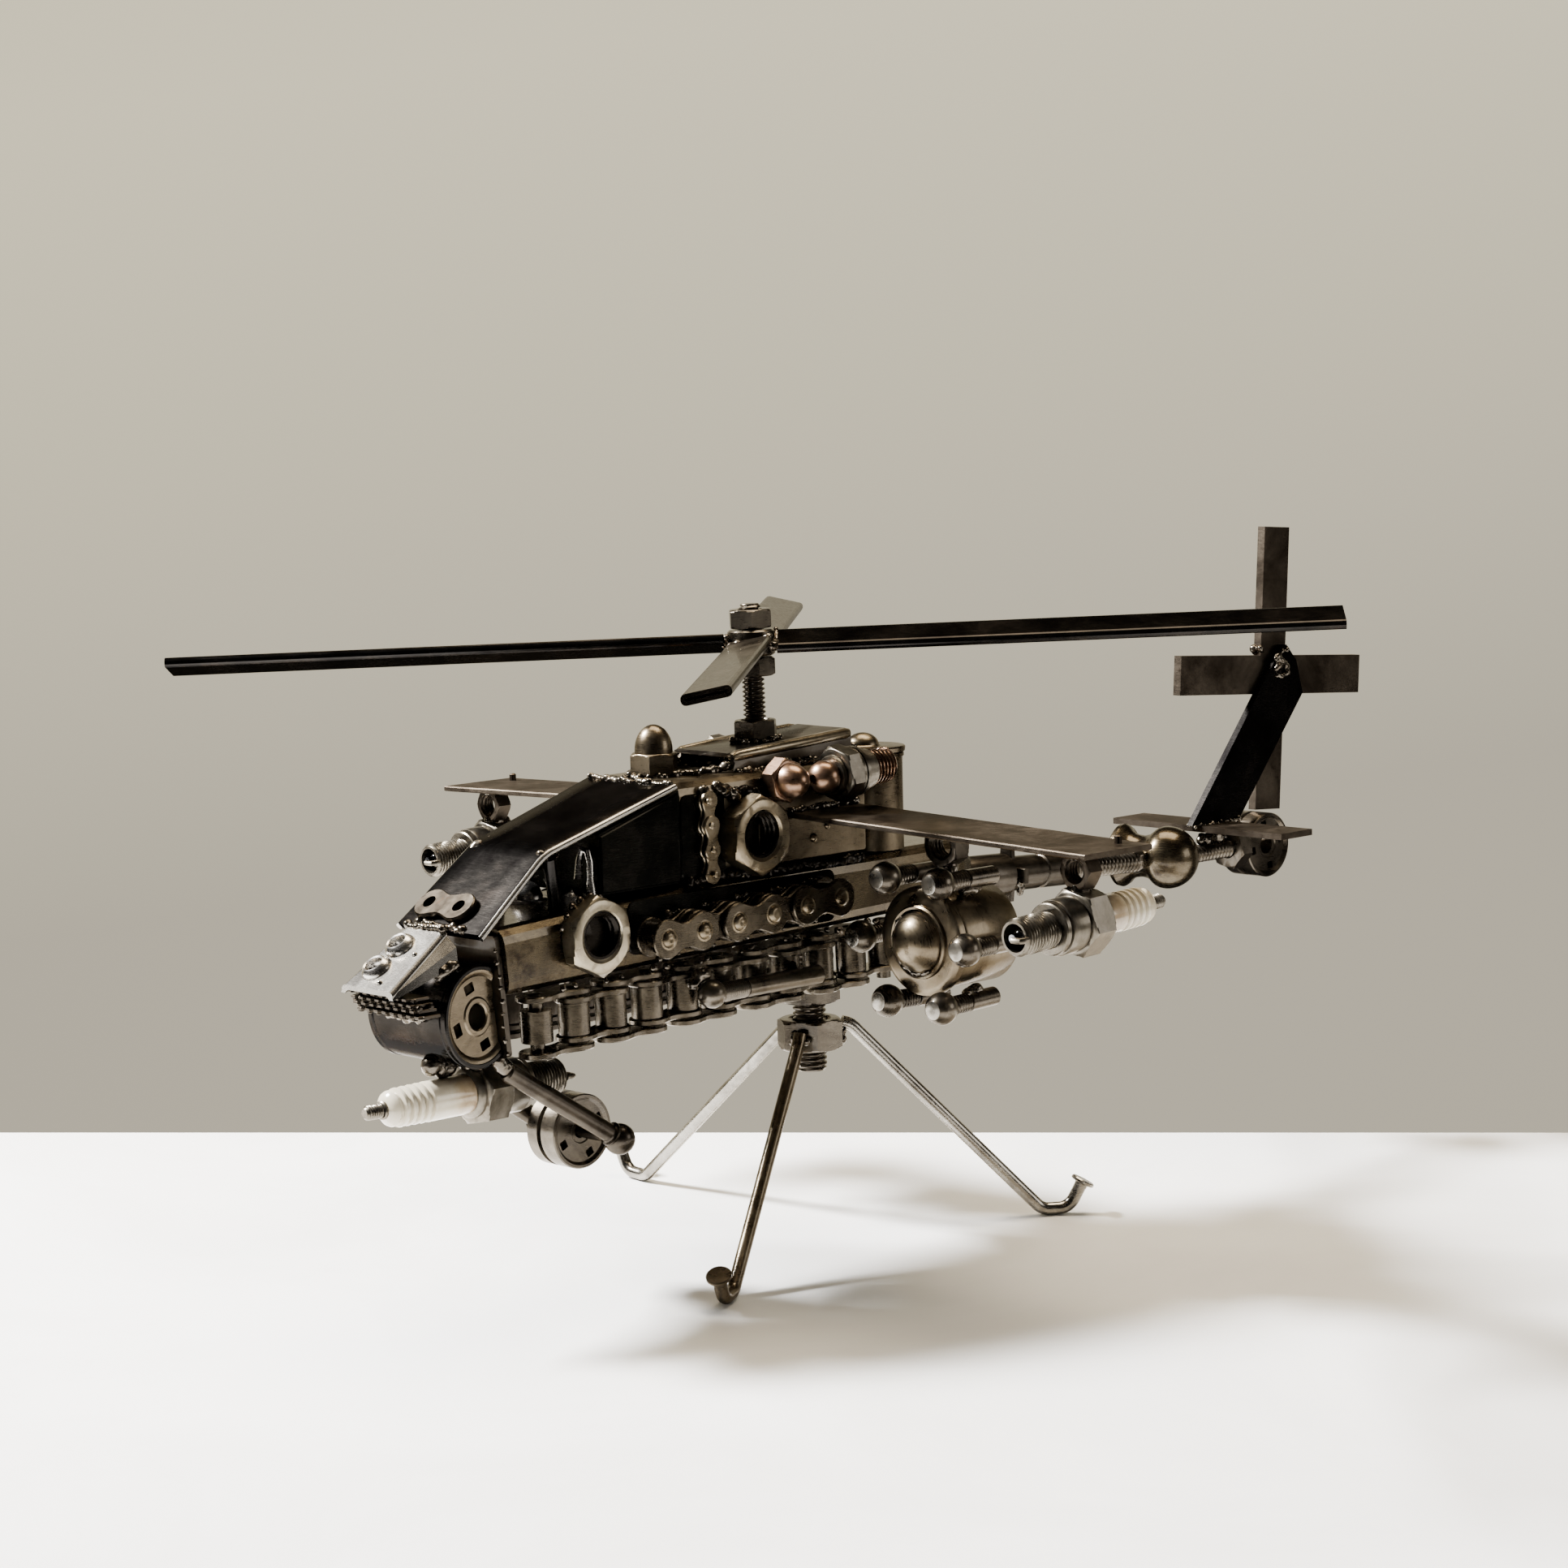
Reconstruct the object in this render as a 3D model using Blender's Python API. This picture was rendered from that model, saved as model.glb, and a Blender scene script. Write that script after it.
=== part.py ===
"""Scrap-metal toy attack helicopter on a nail tripod.

Every figure below is in millimetres and is turned into metres where a mesh or a place is made.
The airframe is modelled in its own frame: X forward, Y to port, Z up, zero at the main rotor's hub.
An empty carries that frame over the floor, with the small lean that the hand-made model has.
"""
import math

import bmesh
import bpy
from mathutils import Matrix, Vector

MM = 0.001
GAP = 0.3

# Where the hub stands over the floor, and how the airframe leans (degrees).
HUB_X = 67.39
HUB_Y = -2.25
HUB_Z = 168.7
AIRFRAME_ROLL = 2.66
AIRFRAME_PITCH = -0.53
MAST_ROLL = 1.05
MAST_PITCH = 0.68

# Main rotor and mast.
ROTOR_RADIUS = 162.0
BLADE_CHORD = 12.3
BLADE_THICKNESS = 2.8
BLADE_WALL = 1.1
# Each blade was bent by hand, so no two have quite the same pitch.
BLADE_PITCHES = (18.5, 10.0, 18.5, 14.5)
FIRST_BLADE_ANGLE = -46.9
HUB_HALF = 7.0
HUB_HEIGHT = 7.4
MAST_RADIUS = 3.1
MAST_TOP = 10.7
MAST_BOTTOM = -26.4
MAST_NUT_FLATS = 11.1
MAST_NUT_HEIGHT = 5.2

# Fuselage, cabin and nose.
TUBE_REAR = -69.0
TUBE_KNEE = 30.0
TUBE_FRONT = 104.0
TUBE_HALF = 18.0
TUBE_TOP = -60.5
TUBE_TOP_FRONT = -64.7
TUBE_BOTTOM_FRONT = -82.5
TUBE_BOTTOM_REAR = -77.8
TUBE_WALL = 2.0
TUBE_CORNER = 4.0
BULKHEAD_BOTTOM = -98.3
BULKHEAD_HALF = 16.0
BULKHEAD_WIDE = 16.4
BULKHEAD_LEAN = 5.5
CABIN_REAR = -26.0
CABIN_FRONT = 43.0
CABIN_HALF = 16.5
CABIN_TOP = -33.3
CABIN_WALL = 1.6
COCKPIT_FRONT = 71.6
SHEET = 1.5
CANOPY_STATIONS = ((45.2, -33.5, 16.7), (89.2, -46.9, 14.6), (112.6, -65.3, 16.7))
CANOPY_THICKNESS = 2.2
LINK_PLACE = (107.5, 3.6, -60.7)
LINK_SLOPE = 38.0
LINK_PITCH = 12.0
POST_X = 83.8
POST_Y = 12.0
ROLLER_X = 111.5
ROLLER_Z = -86.8
ROLLER_RADIUS = 13.4
ROLLER_SQUASH = 0.85
ROLLER_PORT = 14.8
ROLLER_STARBOARD = -17.5
HOOD_BACK = (116.0, -64.2, 8.0, 12.5, -73.0)
HOOD_FRONT = (135.9, -77.5, 9.9, 10.8, -79.8)
NOSE_CHAIN_PLACE = (128.6, 0.6, -83.0)
NOSE_CHAIN_SIZE = (24.5, 6.0, 5.4)

# Roof, exhausts and flank nuts.
ROOF_TOP_REAR = -25.6
ROOF_TOP_FRONT = -28.4
ROOF_FRONT = 19.7
ROOF_FOOT = -33.0
ROOF_HALF = 12.0
ROOF_WALL = 1.2
ROOF_NUT_Z = -26.5
ROOF_ACORN_X = 37.0
EXHAUST_ACORN = (7.6, -36.1)
FITTING_PLACE = (-3.4, -36.0)
FITTING_OUT = 7.3
CAN_X = -35.4
CAN_Y = 10.6
CAN_RADIUS = 8.4
CAN_RIM = 9.2
CAN_TOP = -31.0
CAN_DOME_RADIUS = 4.6
CAN_DOME_HEIGHT = 3.6
CAN_DOME_SHIFT = 1.9
LARGE_NUT_FLATS = 19.4
LARGE_NUT_HEIGHT = 7.3
LARGE_NUT_BORE = 5.8
LARGE_NUT_PLACE = (19.8, -49.6)
SMALL_NUT_FLATS = 19.0
SMALL_NUT_HEIGHT = 5.2
SMALL_NUT_BORE = 5.4
SMALL_NUT_PLACE = (77.2, -69.7)
FLANK_NUT_CHAMFER = 1.4

# Roller chain of half-inch pitch, and the small quarter-inch chain by the doors.
CHAIN_PITCH = 12.7
PLATE_RADIUS = 5.5
PLATE_WAIST = 3.7
ROLLER_R = 4.25
BELLY_CHAIN = 17.2
BELLY_CHAIN_REAR = -35.0
BELLY_CHAIN_DROP = 1.7
BELLY_CHAIN_Y = 13.6
BELLY_PLATE_RADIUS = 5.2
SIDE_CHAIN_PLACE = (-6.6, -69.4)
SIDE_CHAIN_DEPTH = 8.6
SIDE_CHAIN_DROP = 3.0
SMALL_PITCH = 6.6
DOOR_CHAIN_PLACE = (34.3, -58.9)
DOOR_CHAIN_DEPTH = 3.2
BELLY_BOLT_PLACE = (-1.5, 22.2, -90.2)
BELLY_BOLT_LENGTH = 37.0
BELLY_BOLT_RADIUS = 2.6

# Wings, rocket pods and spark plugs.
WING_ROOT = 16.8
WING_TIP = 128.0
WING_TOP_ROOT = -45.6
WING_TOP_TIP = -47.7
WING_THICKNESS = 1.5
WING_ROOT_CHORD = (-22.5, 3.5)
WING_TIP_CHORD = (-18.0, 8.0)
POD_Y = 53.0
POD_Z = -79.3
POD_FRONT = -9.0
POD_RADIUS = 13.6
POD_DISC_RADIUS = 14.9
POD_LENGTH = 26.0
ROCKET_CIRCLE = 19.4
ROCKET_COUNT = 6
ROCKET_BALL = 4.4
ROCKET_FLAT = 2.6
ROCKET_AHEAD = 2.4
ROCKET_NECK = 1.0
ROCKET_ROD = 2.6
ROCKET_END = 19.5
PLUG_Y = 117.5
PLUG_Z = -67.9
PLUG_LENGTH = 57.0
PLUG_X = 23.0
PLUG_TILT = -2.8
GUN_X = 74.2
GUN_Z = -109.4
GUN_LONGER = 7.0

# Tail.
TAIL_Z = -78.8
FIN_HALF = 1.1
TAIL_HUB = (-229.0, -25.1)
TAIL_ARM = 45.0
TAIL_ARM_WIDTH = 12.3
TAIL_ARM_DROP = 2.0
TAIL_ROTOR_TILT = 4.0
KNOB_X = -169.5

# Front gear.
AXLE_X = 66.8
AXLE_Z = -125.7
WHEEL_RADIUS = 10.1

# Stand.
BOLT_X = -18.6
BOLT_RADIUS = 4.7
STAND_NUT_FLATS = 16.6
BELLY_NUT_FLATS = 15.8
NUT_LOW = -116.0
NUT_HIGH = -107.4
BOLT_TIP = -122.2
NAIL_RADIUS = 1.85
FOOT_BEND = 5.0
FOOT_FLAT = 3.0
# Compass direction, distance out, and whether the nail starts on top of the nut.
LEGS = {
    "leg_starboard": (-90.0, 73.5, False),
    "leg_front": (29.0, 73.8, False),
    "leg_rear": (148.0, 72.0, True),
}

# Colour (linear RGB), metallic and roughness of each finish.
FINISHES = {
    "dark_steel": ((0.10, 0.09, 0.08), 1.0, 0.30),
    "bronzed_steel": ((0.24, 0.20, 0.15), 1.0, 0.28),
    "black_steel": ((0.04, 0.04, 0.045), 1.0, 0.30),
    "nail_wire": ((0.55, 0.55, 0.53), 1.0, 0.25),
    "plug_shell": ((0.42, 0.41, 0.37), 1.0, 0.30),
    "copper_tint": ((0.32, 0.20, 0.14), 1.0, 0.25),
    "ceramic": ((0.80, 0.77, 0.68), 0.0, 0.20),
}


# ---------------------------------------------------------------- scene helpers

def clear_scene():
    for obj in list(bpy.data.objects):
        bpy.data.objects.remove(obj, do_unlink=True)


def make_finish(name):
    colour, metallic, roughness = FINISHES[name]
    material = bpy.data.materials.new(name)
    material.use_nodes = True
    shader = material.node_tree.nodes["Principled BSDF"]
    shader.inputs["Base Color"].default_value = (*colour, 1.0)
    shader.inputs["Metallic"].default_value = metallic
    shader.inputs["Roughness"].default_value = roughness
    return material


def mm(*values):
    return Vector(values) * MM


def degrees(*values):
    return tuple(math.radians(value) for value in values)


def empty(name, location, rotation=(0, 0, 0), parent=None):
    obj = bpy.data.objects.new(name, None)
    bpy.context.collection.objects.link(obj)
    obj.location = mm(*location)
    obj.rotation_euler = degrees(*rotation)
    obj.parent = parent
    return obj


def to_object(name, bm, finish=None, smooth=True):
    """Close a bmesh into an object; its coordinates are millimetres until here."""
    bmesh.ops.recalc_face_normals(bm, faces=bm.faces)
    bmesh.ops.scale(bm, vec=(MM, MM, MM), verts=bm.verts)
    mesh = bpy.data.meshes.new(name)
    bm.to_mesh(mesh)
    bm.free()
    obj = bpy.data.objects.new(name, mesh)
    bpy.context.collection.objects.link(obj)
    if finish:
        mesh.materials.append(finish)
    if smooth:
        mesh.shade_smooth()
        mesh.set_sharp_from_angle(angle=math.radians(35))
    return obj


def place(obj, location=(0, 0, 0), rotation=(0, 0, 0), parent=None):
    obj.location = mm(*location)
    obj.rotation_euler = degrees(*rotation)
    obj.parent = parent
    return obj


def combine(obj, others, operation):
    """Union or subtract solids and keep the result as the first object's own mesh."""
    for other in others:
        bpy.context.view_layer.update()
        modifier = obj.modifiers.new(operation.title(), "BOOLEAN")
        modifier.operation = operation
        modifier.solver = "EXACT"
        modifier.object = other
        graph = bpy.context.evaluated_depsgraph_get()
        mesh = bpy.data.meshes.new_from_object(obj.evaluated_get(graph))
        obj.modifiers.clear()
        obj.data = mesh
        bpy.data.objects.remove(other, do_unlink=True)
    obj.data.shade_smooth()
    obj.data.set_sharp_from_angle(angle=math.radians(35))
    return obj


def union(obj, *others):
    return combine(obj, others, "UNION")


def subtract(obj, *others):
    return combine(obj, others, "DIFFERENCE")


# ---------------------------------------------------------------- shape helpers

def ring_points(count, radius, start=0.0):
    step = 2 * math.pi / count
    return [(radius * math.cos(start + k * step), radius * math.sin(start + k * step)) for k in range(count)]


def hexagon_radius(angle, flats):
    """Distance from the centre to the side of a hexagon whose flat faces +X."""
    turn = math.radians(60)
    return flats / 2 / math.cos((angle + turn / 2) % turn - turn / 2)


def hexagon_points(flats, count, limit=None):
    points = []
    for k in range(count):
        angle = 2 * math.pi * k / count + math.pi / count
        radius = hexagon_radius(angle, flats)
        if limit:
            radius = min(radius, limit)
        points.append((radius * math.cos(angle), radius * math.sin(angle)))
    return points


def rounded_rectangle(half_x, half_y, radius, steps=3):
    """Corner by corner, counter-clockwise, as (x, y) points."""
    points = []
    for corner, (sx, sy) in enumerate(((1, 1), (-1, 1), (-1, -1), (1, -1))):
        for k in range(steps + 1):
            angle = math.radians(90 * corner + 90 * k / steps)
            points.append((sx * (half_x - radius) + radius * math.cos(angle),
                           sy * (half_y - radius) + radius * math.sin(angle)))
    return points


def loft(sections, cap=True, closed=False):
    """Skin equal-length rings of 3-D points into a solid; closed joins the last ring to the first."""
    bm = bmesh.new()
    rings = [[bm.verts.new(point) for point in section] for section in sections]
    pairs = list(zip(rings, rings[1:]))
    if closed:
        pairs.append((rings[-1], rings[0]))
    for lower, upper in pairs:
        for k in range(len(lower)):
            after = (k + 1) % len(lower)
            bm.faces.new((lower[k], lower[after], upper[after], upper[k]))
    if cap and not closed:
        bm.faces.new(list(reversed(rings[0])))
        bm.faces.new(rings[-1])
    return bm


def turned(profile, segments=16, bore=0.0):
    """Turn (distance, radius) pairs about Z. A bore goes right through; without one the ends are capped."""
    sections = [[(x, y, z) for x, y in ring_points(segments, radius, math.pi / segments)]
                for z, radius in profile]
    if bore:
        for z in (profile[-1][0], profile[0][0]):
            sections.append([(x, y, z) for x, y in ring_points(segments, bore, math.pi / segments)])
        return loft(sections, closed=True)
    return loft(sections)


def prism(points, low, high):
    """Extrude an (x, y) outline from z = low to z = high."""
    return loft([[(x, y, low) for x, y in points], [(x, y, high) for x, y in points]])


def tube_prism(outer, inner, low, high):
    """Extrude a ring between two outlines of equal count."""
    return loft([[(x, y, low) for x, y in outer], [(x, y, high) for x, y in outer],
                 [(x, y, high) for x, y in inner], [(x, y, low) for x, y in inner]], closed=True)


def nut_mesh(flats, height, bore, count=18, chamfer=0.9):
    """Hexagon nut about Z from 0 to height, chamfered at both faces, with a plain bore."""
    round_limit = flats / 2 * 0.98
    levels = ((0.0, round_limit), (chamfer, None), (height - chamfer, None), (height, round_limit))
    sections = [[(x, y, z) for x, y in hexagon_points(flats, count, limit)] for z, limit in levels]
    for z in (height, 0.0):
        sections.append([(x, y, z) for x, y in ring_points(count, bore, math.pi / count)])
    return loft(sections, closed=True)


def dome_profile(start, radius, length, steps=4, tip=0.35):
    """Points of a dome that starts at full radius and ends in a small flat."""
    points = []
    for k in range(steps + 1):
        angle = math.radians(90 * k / steps)
        points.append((start + length * math.sin(angle), max(radius * math.cos(angle), tip)))
    return points


def ball_profile(centre, radius, steps=8, front_flat=0.0, tip=0.35):
    """A ball cut flat at its far end; both poles end in small flats."""
    points = []
    for k in range(steps + 1):
        angle = math.radians(-90 + 180 * k / steps)
        reach = centre + radius * math.sin(angle)
        size = max(radius * math.cos(angle), tip)
        if front_flat and size < front_flat and angle > 0:
            points.append((centre + math.sqrt(radius**2 - front_flat**2), front_flat))
            break
        points.append((reach, size))
    return points


def link_outline(pitch, count, radius, waist):
    """Outline of chain plates along +X: round over each pin and waisted between pins."""
    upper = []
    for k in range(count):
        first, last = k == 0, k == count - 1
        angles = [150, 115, 90, 65, 30]
        if first:
            angles = [180, 150, 115, 90, 60]
        if last:
            angles = [120, 90, 65, 30, 0]
        for angle in angles:
            turn = math.radians(angle)
            height = radius * math.sin(turn)
            width = max(height, waist) if 0 < angle < 180 else 0.0
            upper.append((k * pitch + radius * math.cos(turn), width))
    lower = [(x, -y) for x, y in reversed(upper[1:-1])]
    return list(reversed(upper + lower))


def sweep(points, radius, side, sides=10, head=None):
    """Round bar along points that lie in one plane; side is the plane's normal.

    A flat of the bar faces down, so a level run at the bottom of a bend is a level face.
    head = (radius, thickness) adds a nail head at the far end.
    """
    radii = [radius] * len(points)
    path = [Vector(point) for point in points]
    if head:
        direction = (path[-1] - path[-2]).normalized()
        end = path[-1]
        path += [end + direction * 0.02, end + direction * (head[1] * 0.6), end + direction * head[1]]
        radii += [head[0], head[0], head[0] * 0.8]
    side = Vector(side).normalized()
    sections = []
    for k, point in enumerate(path):
        before = path[max(k - 1, 0)]
        after = path[min(k + 1, len(path) - 1)]
        tangent = (after - before).normalized()
        across = side.cross(tangent).normalized()
        ring = []
        for j in range(sides):
            angle = 2 * math.pi * (j + 0.5) / sides + math.pi / 2
            ring.append(point + (across * math.sin(angle) + side * math.cos(angle)) * radii[k])
        sections.append(ring)
    return loft(sections)


# ---------------------------------------------------------------- main rotor

def build_mast(airframe, finish):
    axis = empty("main_rotor_axis", (0, 0, 0), (MAST_ROLL, MAST_PITCH, 0), airframe)
    rod = to_object("mast", turned([(MAST_BOTTOM, MAST_RADIUS), (MAST_TOP, MAST_RADIUS)], 16),
                    finish["dark_steel"])
    nuts = []
    for height in (HUB_HEIGHT / 2 + GAP, -HUB_HEIGHT / 2 - GAP - MAST_NUT_HEIGHT):
        nut = to_object("mast_nut", nut_mesh(MAST_NUT_FLATS, MAST_NUT_HEIGHT, MAST_RADIUS - 0.4))
        nuts.append(place(nut, (0, 0, height), (0, 0, 20)))
    place(union(rod, *nuts), parent=axis)
    nut = to_object("roof_nut", nut_mesh(MAST_NUT_FLATS, MAST_NUT_HEIGHT, MAST_RADIUS + GAP),
                    finish["dark_steel"])
    place(nut, (0, 0, ROOF_NUT_Z), (0, 0, 12), axis)

    bore = MAST_RADIUS + GAP
    hub = tube_prism(square_block(HUB_HALF, 24), ring_points(24, bore, math.pi / 24),
                     -HUB_HEIGHT / 2, HUB_HEIGHT / 2)
    place(to_object("rotor_hub", hub, finish["dark_steel"]), rotation=(0, 0, FIRST_BLADE_ANGLE), parent=axis)
    outer = rounded_rectangle(BLADE_CHORD / 2, BLADE_THICKNESS / 2, BLADE_THICKNESS / 2 - 0.2)
    inner = rounded_rectangle(BLADE_CHORD / 2 - BLADE_WALL, BLADE_THICKNESS / 2 - BLADE_WALL,
                              BLADE_THICKNESS / 2 - BLADE_WALL - 0.1)
    for k, pitch in enumerate(BLADE_PITCHES):
        blade = to_object(f"rotor_blade_{k + 1}",
                          tube_prism(outer, inner, HUB_HALF + GAP, ROTOR_RADIUS), finish["dark_steel"])
        angle = math.radians(FIRST_BLADE_ANGLE + k * 360 / len(BLADE_PITCHES))
        along = Vector((math.cos(angle), math.sin(angle), 0))
        chord = Vector((-math.sin(angle), math.cos(angle), 0))
        lean = Matrix.Rotation(math.radians(pitch), 3, along)
        edge = lean @ chord
        blade.matrix_local = Matrix((edge, along.cross(edge), along)).transposed().to_4x4()
        blade.parent = axis


def square_block(half, count):
    """Square with chamfered corners, sampled at even angles."""
    points = []
    for k in range(count):
        angle = 2 * math.pi * k / count + math.pi / count
        reach = half / max(abs(math.cos(angle)), abs(math.sin(angle)))
        reach = min(reach, half * 1.2)
        points.append((reach * math.cos(angle), reach * math.sin(angle)))
    return points


# ---------------------------------------------------------------- fuselage and cabin

def tube_bottom(x):
    """Height of the fuselage tube's underside, which drops towards the nose."""
    share = (x - TUBE_REAR) / (TUBE_FRONT - TUBE_REAR)
    return TUBE_BOTTOM_REAR + (TUBE_BOTTOM_FRONT - TUBE_BOTTOM_REAR) * share


def nose_plane(z):
    """How far the leaning nose bulkhead stands forward of its middle at a height."""
    return math.tan(math.radians(BULKHEAD_LEAN)) * (z - BULKHEAD_BOTTOM - BULKHEAD_HALF)


def tube_section(x, top, inset=0.0, leaning=False):
    """Cross-section of the fuselage tube at one station; a leaning one follows the bulkhead."""
    bottom = tube_bottom(x)
    half_height = (top - bottom) / 2
    middle = (top + bottom) / 2
    outline = rounded_rectangle(TUBE_HALF - inset, half_height - inset, TUBE_CORNER - inset)
    return [(x + (nose_plane(middle + z) if leaning else 0.0), y, middle + z) for y, z in outline]


def build_fuselage(airframe, finish):
    outer = [tube_section(TUBE_REAR, TUBE_TOP - 3, 2.0), tube_section(TUBE_REAR + 5, TUBE_TOP),
             tube_section(TUBE_KNEE, TUBE_TOP), tube_section(TUBE_FRONT, TUBE_TOP_FRONT, 0.0, True)]
    inner = [tube_section(TUBE_FRONT, TUBE_TOP_FRONT, TUBE_WALL, True),
             tube_section(TUBE_KNEE, TUBE_TOP, TUBE_WALL), tube_section(TUBE_REAR + 8, TUBE_TOP, TUBE_WALL)]
    place(to_object("fuselage_tube", loft(outer + inner), finish["bronzed_steel"]), parent=airframe)

    bulkhead = prism(rounded_rectangle(BULKHEAD_WIDE, BULKHEAD_HALF, 1.0, 2), 0, SHEET)
    obj = to_object("nose_bulkhead", bulkhead, finish["black_steel"])
    turn_to_x(obj, (TUBE_FRONT + GAP, 0, BULKHEAD_BOTTOM + BULKHEAD_HALF), airframe, BULKHEAD_LEAN)

    outer = rounded_rectangle(CABIN_HALF, (CABIN_TOP - TUBE_TOP - GAP) / 2, TUBE_CORNER)
    inner = rounded_rectangle(CABIN_HALF - CABIN_WALL, (CABIN_TOP - TUBE_TOP - GAP) / 2 - CABIN_WALL,
                              TUBE_CORNER - CABIN_WALL)
    cabin = to_object("cabin_body", tube_prism(outer, inner, 0, CABIN_FRONT - CABIN_REAR),
                      finish["bronzed_steel"])
    turn_to_x(cabin, (CABIN_REAR, 0, (CABIN_TOP + TUBE_TOP + GAP) / 2), airframe)


def turn_to_x(obj, location, parent, lean=0.0, spin=0.0):
    """Aim an object's own Z along X and its own X along Y; a lean tips its top forward."""
    obj.matrix_local = (Matrix.Rotation(math.radians(lean), 4, "Y")
                        @ Matrix(((0, 0, 1), (1, 0, 0), (0, 1, 0))).to_4x4()
                        @ Matrix.Rotation(math.radians(spin), 4, "Z"))
    obj.location = mm(*location)
    obj.parent = parent
    return obj


def turn_to_y(obj, location, parent, side=1):
    """Aim an object's own Z along Y, outboard on the given side."""
    obj.rotation_euler = degrees(-90 * side, 0, 0)
    obj.location = mm(*location)
    obj.parent = parent
    return obj


def canopy_height(x):
    """Height of the canopy strip's top at x."""
    (x0, z0, _), (x1, z1, _), (x2, z2, _) = CANOPY_STATIONS
    if x < x1:
        return z0 + (z1 - z0) * (x - x0) / (x1 - x0)
    return z1 + (z2 - z1) * (x - x1) / (x2 - x1)


def build_cockpit(airframe, finish):
    under = CANOPY_THICKNESS * 1.1 + GAP
    rear = CABIN_FRONT + GAP
    outline = [(rear, TUBE_TOP + GAP), (COCKPIT_FRONT, TUBE_TOP + GAP),
               (COCKPIT_FRONT, canopy_height(COCKPIT_FRONT) - under), (rear, canopy_height(rear) - under)]
    wall = SHEET
    hole = [(rear + wall, TUBE_TOP + GAP + wall), (COCKPIT_FRONT - wall, TUBE_TOP + GAP + wall),
            (COCKPIT_FRONT - wall, canopy_height(COCKPIT_FRONT - wall) - under - wall),
            (rear + wall, canopy_height(rear + wall) - under - wall)]

    def side_view(points, low, high):
        return loft([[(x, low, z) for x, z in points], [(x, high, z) for x, z in points]])

    box = to_object("cockpit_box", side_view(outline, -CABIN_HALF, CABIN_HALF), finish["black_steel"])
    cutters = [to_object("window", side_view(hole, side * 1.0, side * (CABIN_HALF + 1))) for side in (-1, 1)]
    place(subtract(box, *cutters), parent=airframe)

    sections = []
    for x, z, half in CANOPY_STATIONS:
        sections.append([(x, -half, z), (x, half, z), (x, half, z), (x, -half, z)])
    drops = ((-0.6, -2.1), (-1.0, -2.1), (-1.5, -1.6))
    for section, (dx, dz) in zip(sections, drops):
        for k in (2, 3):
            x, y, z = section[k]
            section[k] = (x + dx, y, z + dz * CANOPY_THICKNESS / 2.2)
    canopy = to_object("canopy_strip", loft(sections), finish["black_steel"])
    posts = []
    for side in (-1, 1):
        post = turned([(-62.8, 2.4), (-61.2, 1.7), (-51.0, 1.7), (-50.2, 3.6), (-46.8, 3.6)], 12)
        posts.append(place(to_object("post", post), (POST_X, side * POST_Y, 0)))
    place(union(canopy, *posts), parent=airframe)


def build_nose(airframe, finish):
    sections = []
    for x, top, half, flare, bottom in (HOOD_BACK, HOOD_FRONT):
        wall = SHEET
        sections.append([(x, flare, bottom), (x, half, top), (x, -half, top), (x, -flare, bottom),
                         (x, -flare + wall, bottom), (x, -half + wall, top - wall),
                         (x, half - wall, top - wall), (x, flare - wall, bottom)])
    place(to_object("nose_hood", loft(sections), finish["bronzed_steel"], smooth=False), parent=airframe)

    link = to_object("canopy_link", prism(link_outline(LINK_PITCH, 2, 4.6, 3.0), 0, 1.6),
                     finish["dark_steel"])
    x, y, z = LINK_PLACE
    link.matrix_local = (Matrix.Rotation(math.radians(LINK_SLOPE), 4, "Y")
                         @ Matrix.Rotation(math.radians(-90), 4, "Z"))
    link.location = mm(x, y, z)
    link.parent = airframe

    chain = to_object("nose_chain", toothed_block(*NOSE_CHAIN_SIZE, 7), finish["dark_steel"], smooth=False)
    place(chain, NOSE_CHAIN_PLACE, parent=airframe)

    low, high, rim = ROLLER_STARBOARD, ROLLER_PORT, ROLLER_RADIUS - 1.2
    profile = [(low + 1.2, 3.4), (low + 1.2, rim - 0.4), (low, rim), (low, ROLLER_RADIUS),
               (high, ROLLER_RADIUS), (high, rim), (high - 1.2, rim - 0.4), (high - 1.2, 3.4)]
    roller = to_object("nose_roller", loft(
        [[(x * ROLLER_SQUASH, y, z) for x, y in ring_points(32, radius, math.pi / 32)]
         for z, radius in profile], closed=True), finish["bronzed_steel"])
    turn_to_y(roller, (ROLLER_X, 0, ROLLER_Z), None)
    clear = TUBE_FRONT + SHEET + 2 * GAP + nose_plane(ROLLER_Z)
    cutter = to_object("cutter", prism([(-40, -40), (0, -40), (0, 40), (-40, 40)], -30, 30))
    place(cutter, (clear, 0, ROLLER_Z), (0, BULKHEAD_LEAN, 0))
    place(subtract(roller, cutter), (ROLLER_X, 0, ROLLER_Z), (-90, 0, 0), airframe)


def toothed_block(length, depth, height, teeth):
    """Side-by-side chain plates: a bar across Y with shallow notches in its front face."""
    upper = []
    for k in range(teeth):
        start = -length / 2 + k * length / teeth
        upper += [(depth / 2, start + 0.3), (depth / 2, start + length / teeth - 1.1),
                  (depth / 2 - 1.0, start + length / teeth - 0.9), (depth / 2 - 1.0, start + length / teeth)]
    points = upper + [(-depth / 2, length / 2), (-depth / 2, -length / 2 + 0.3)]
    return prism(points, -height / 2, height / 2)


# ---------------------------------------------------------------- roof

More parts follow.
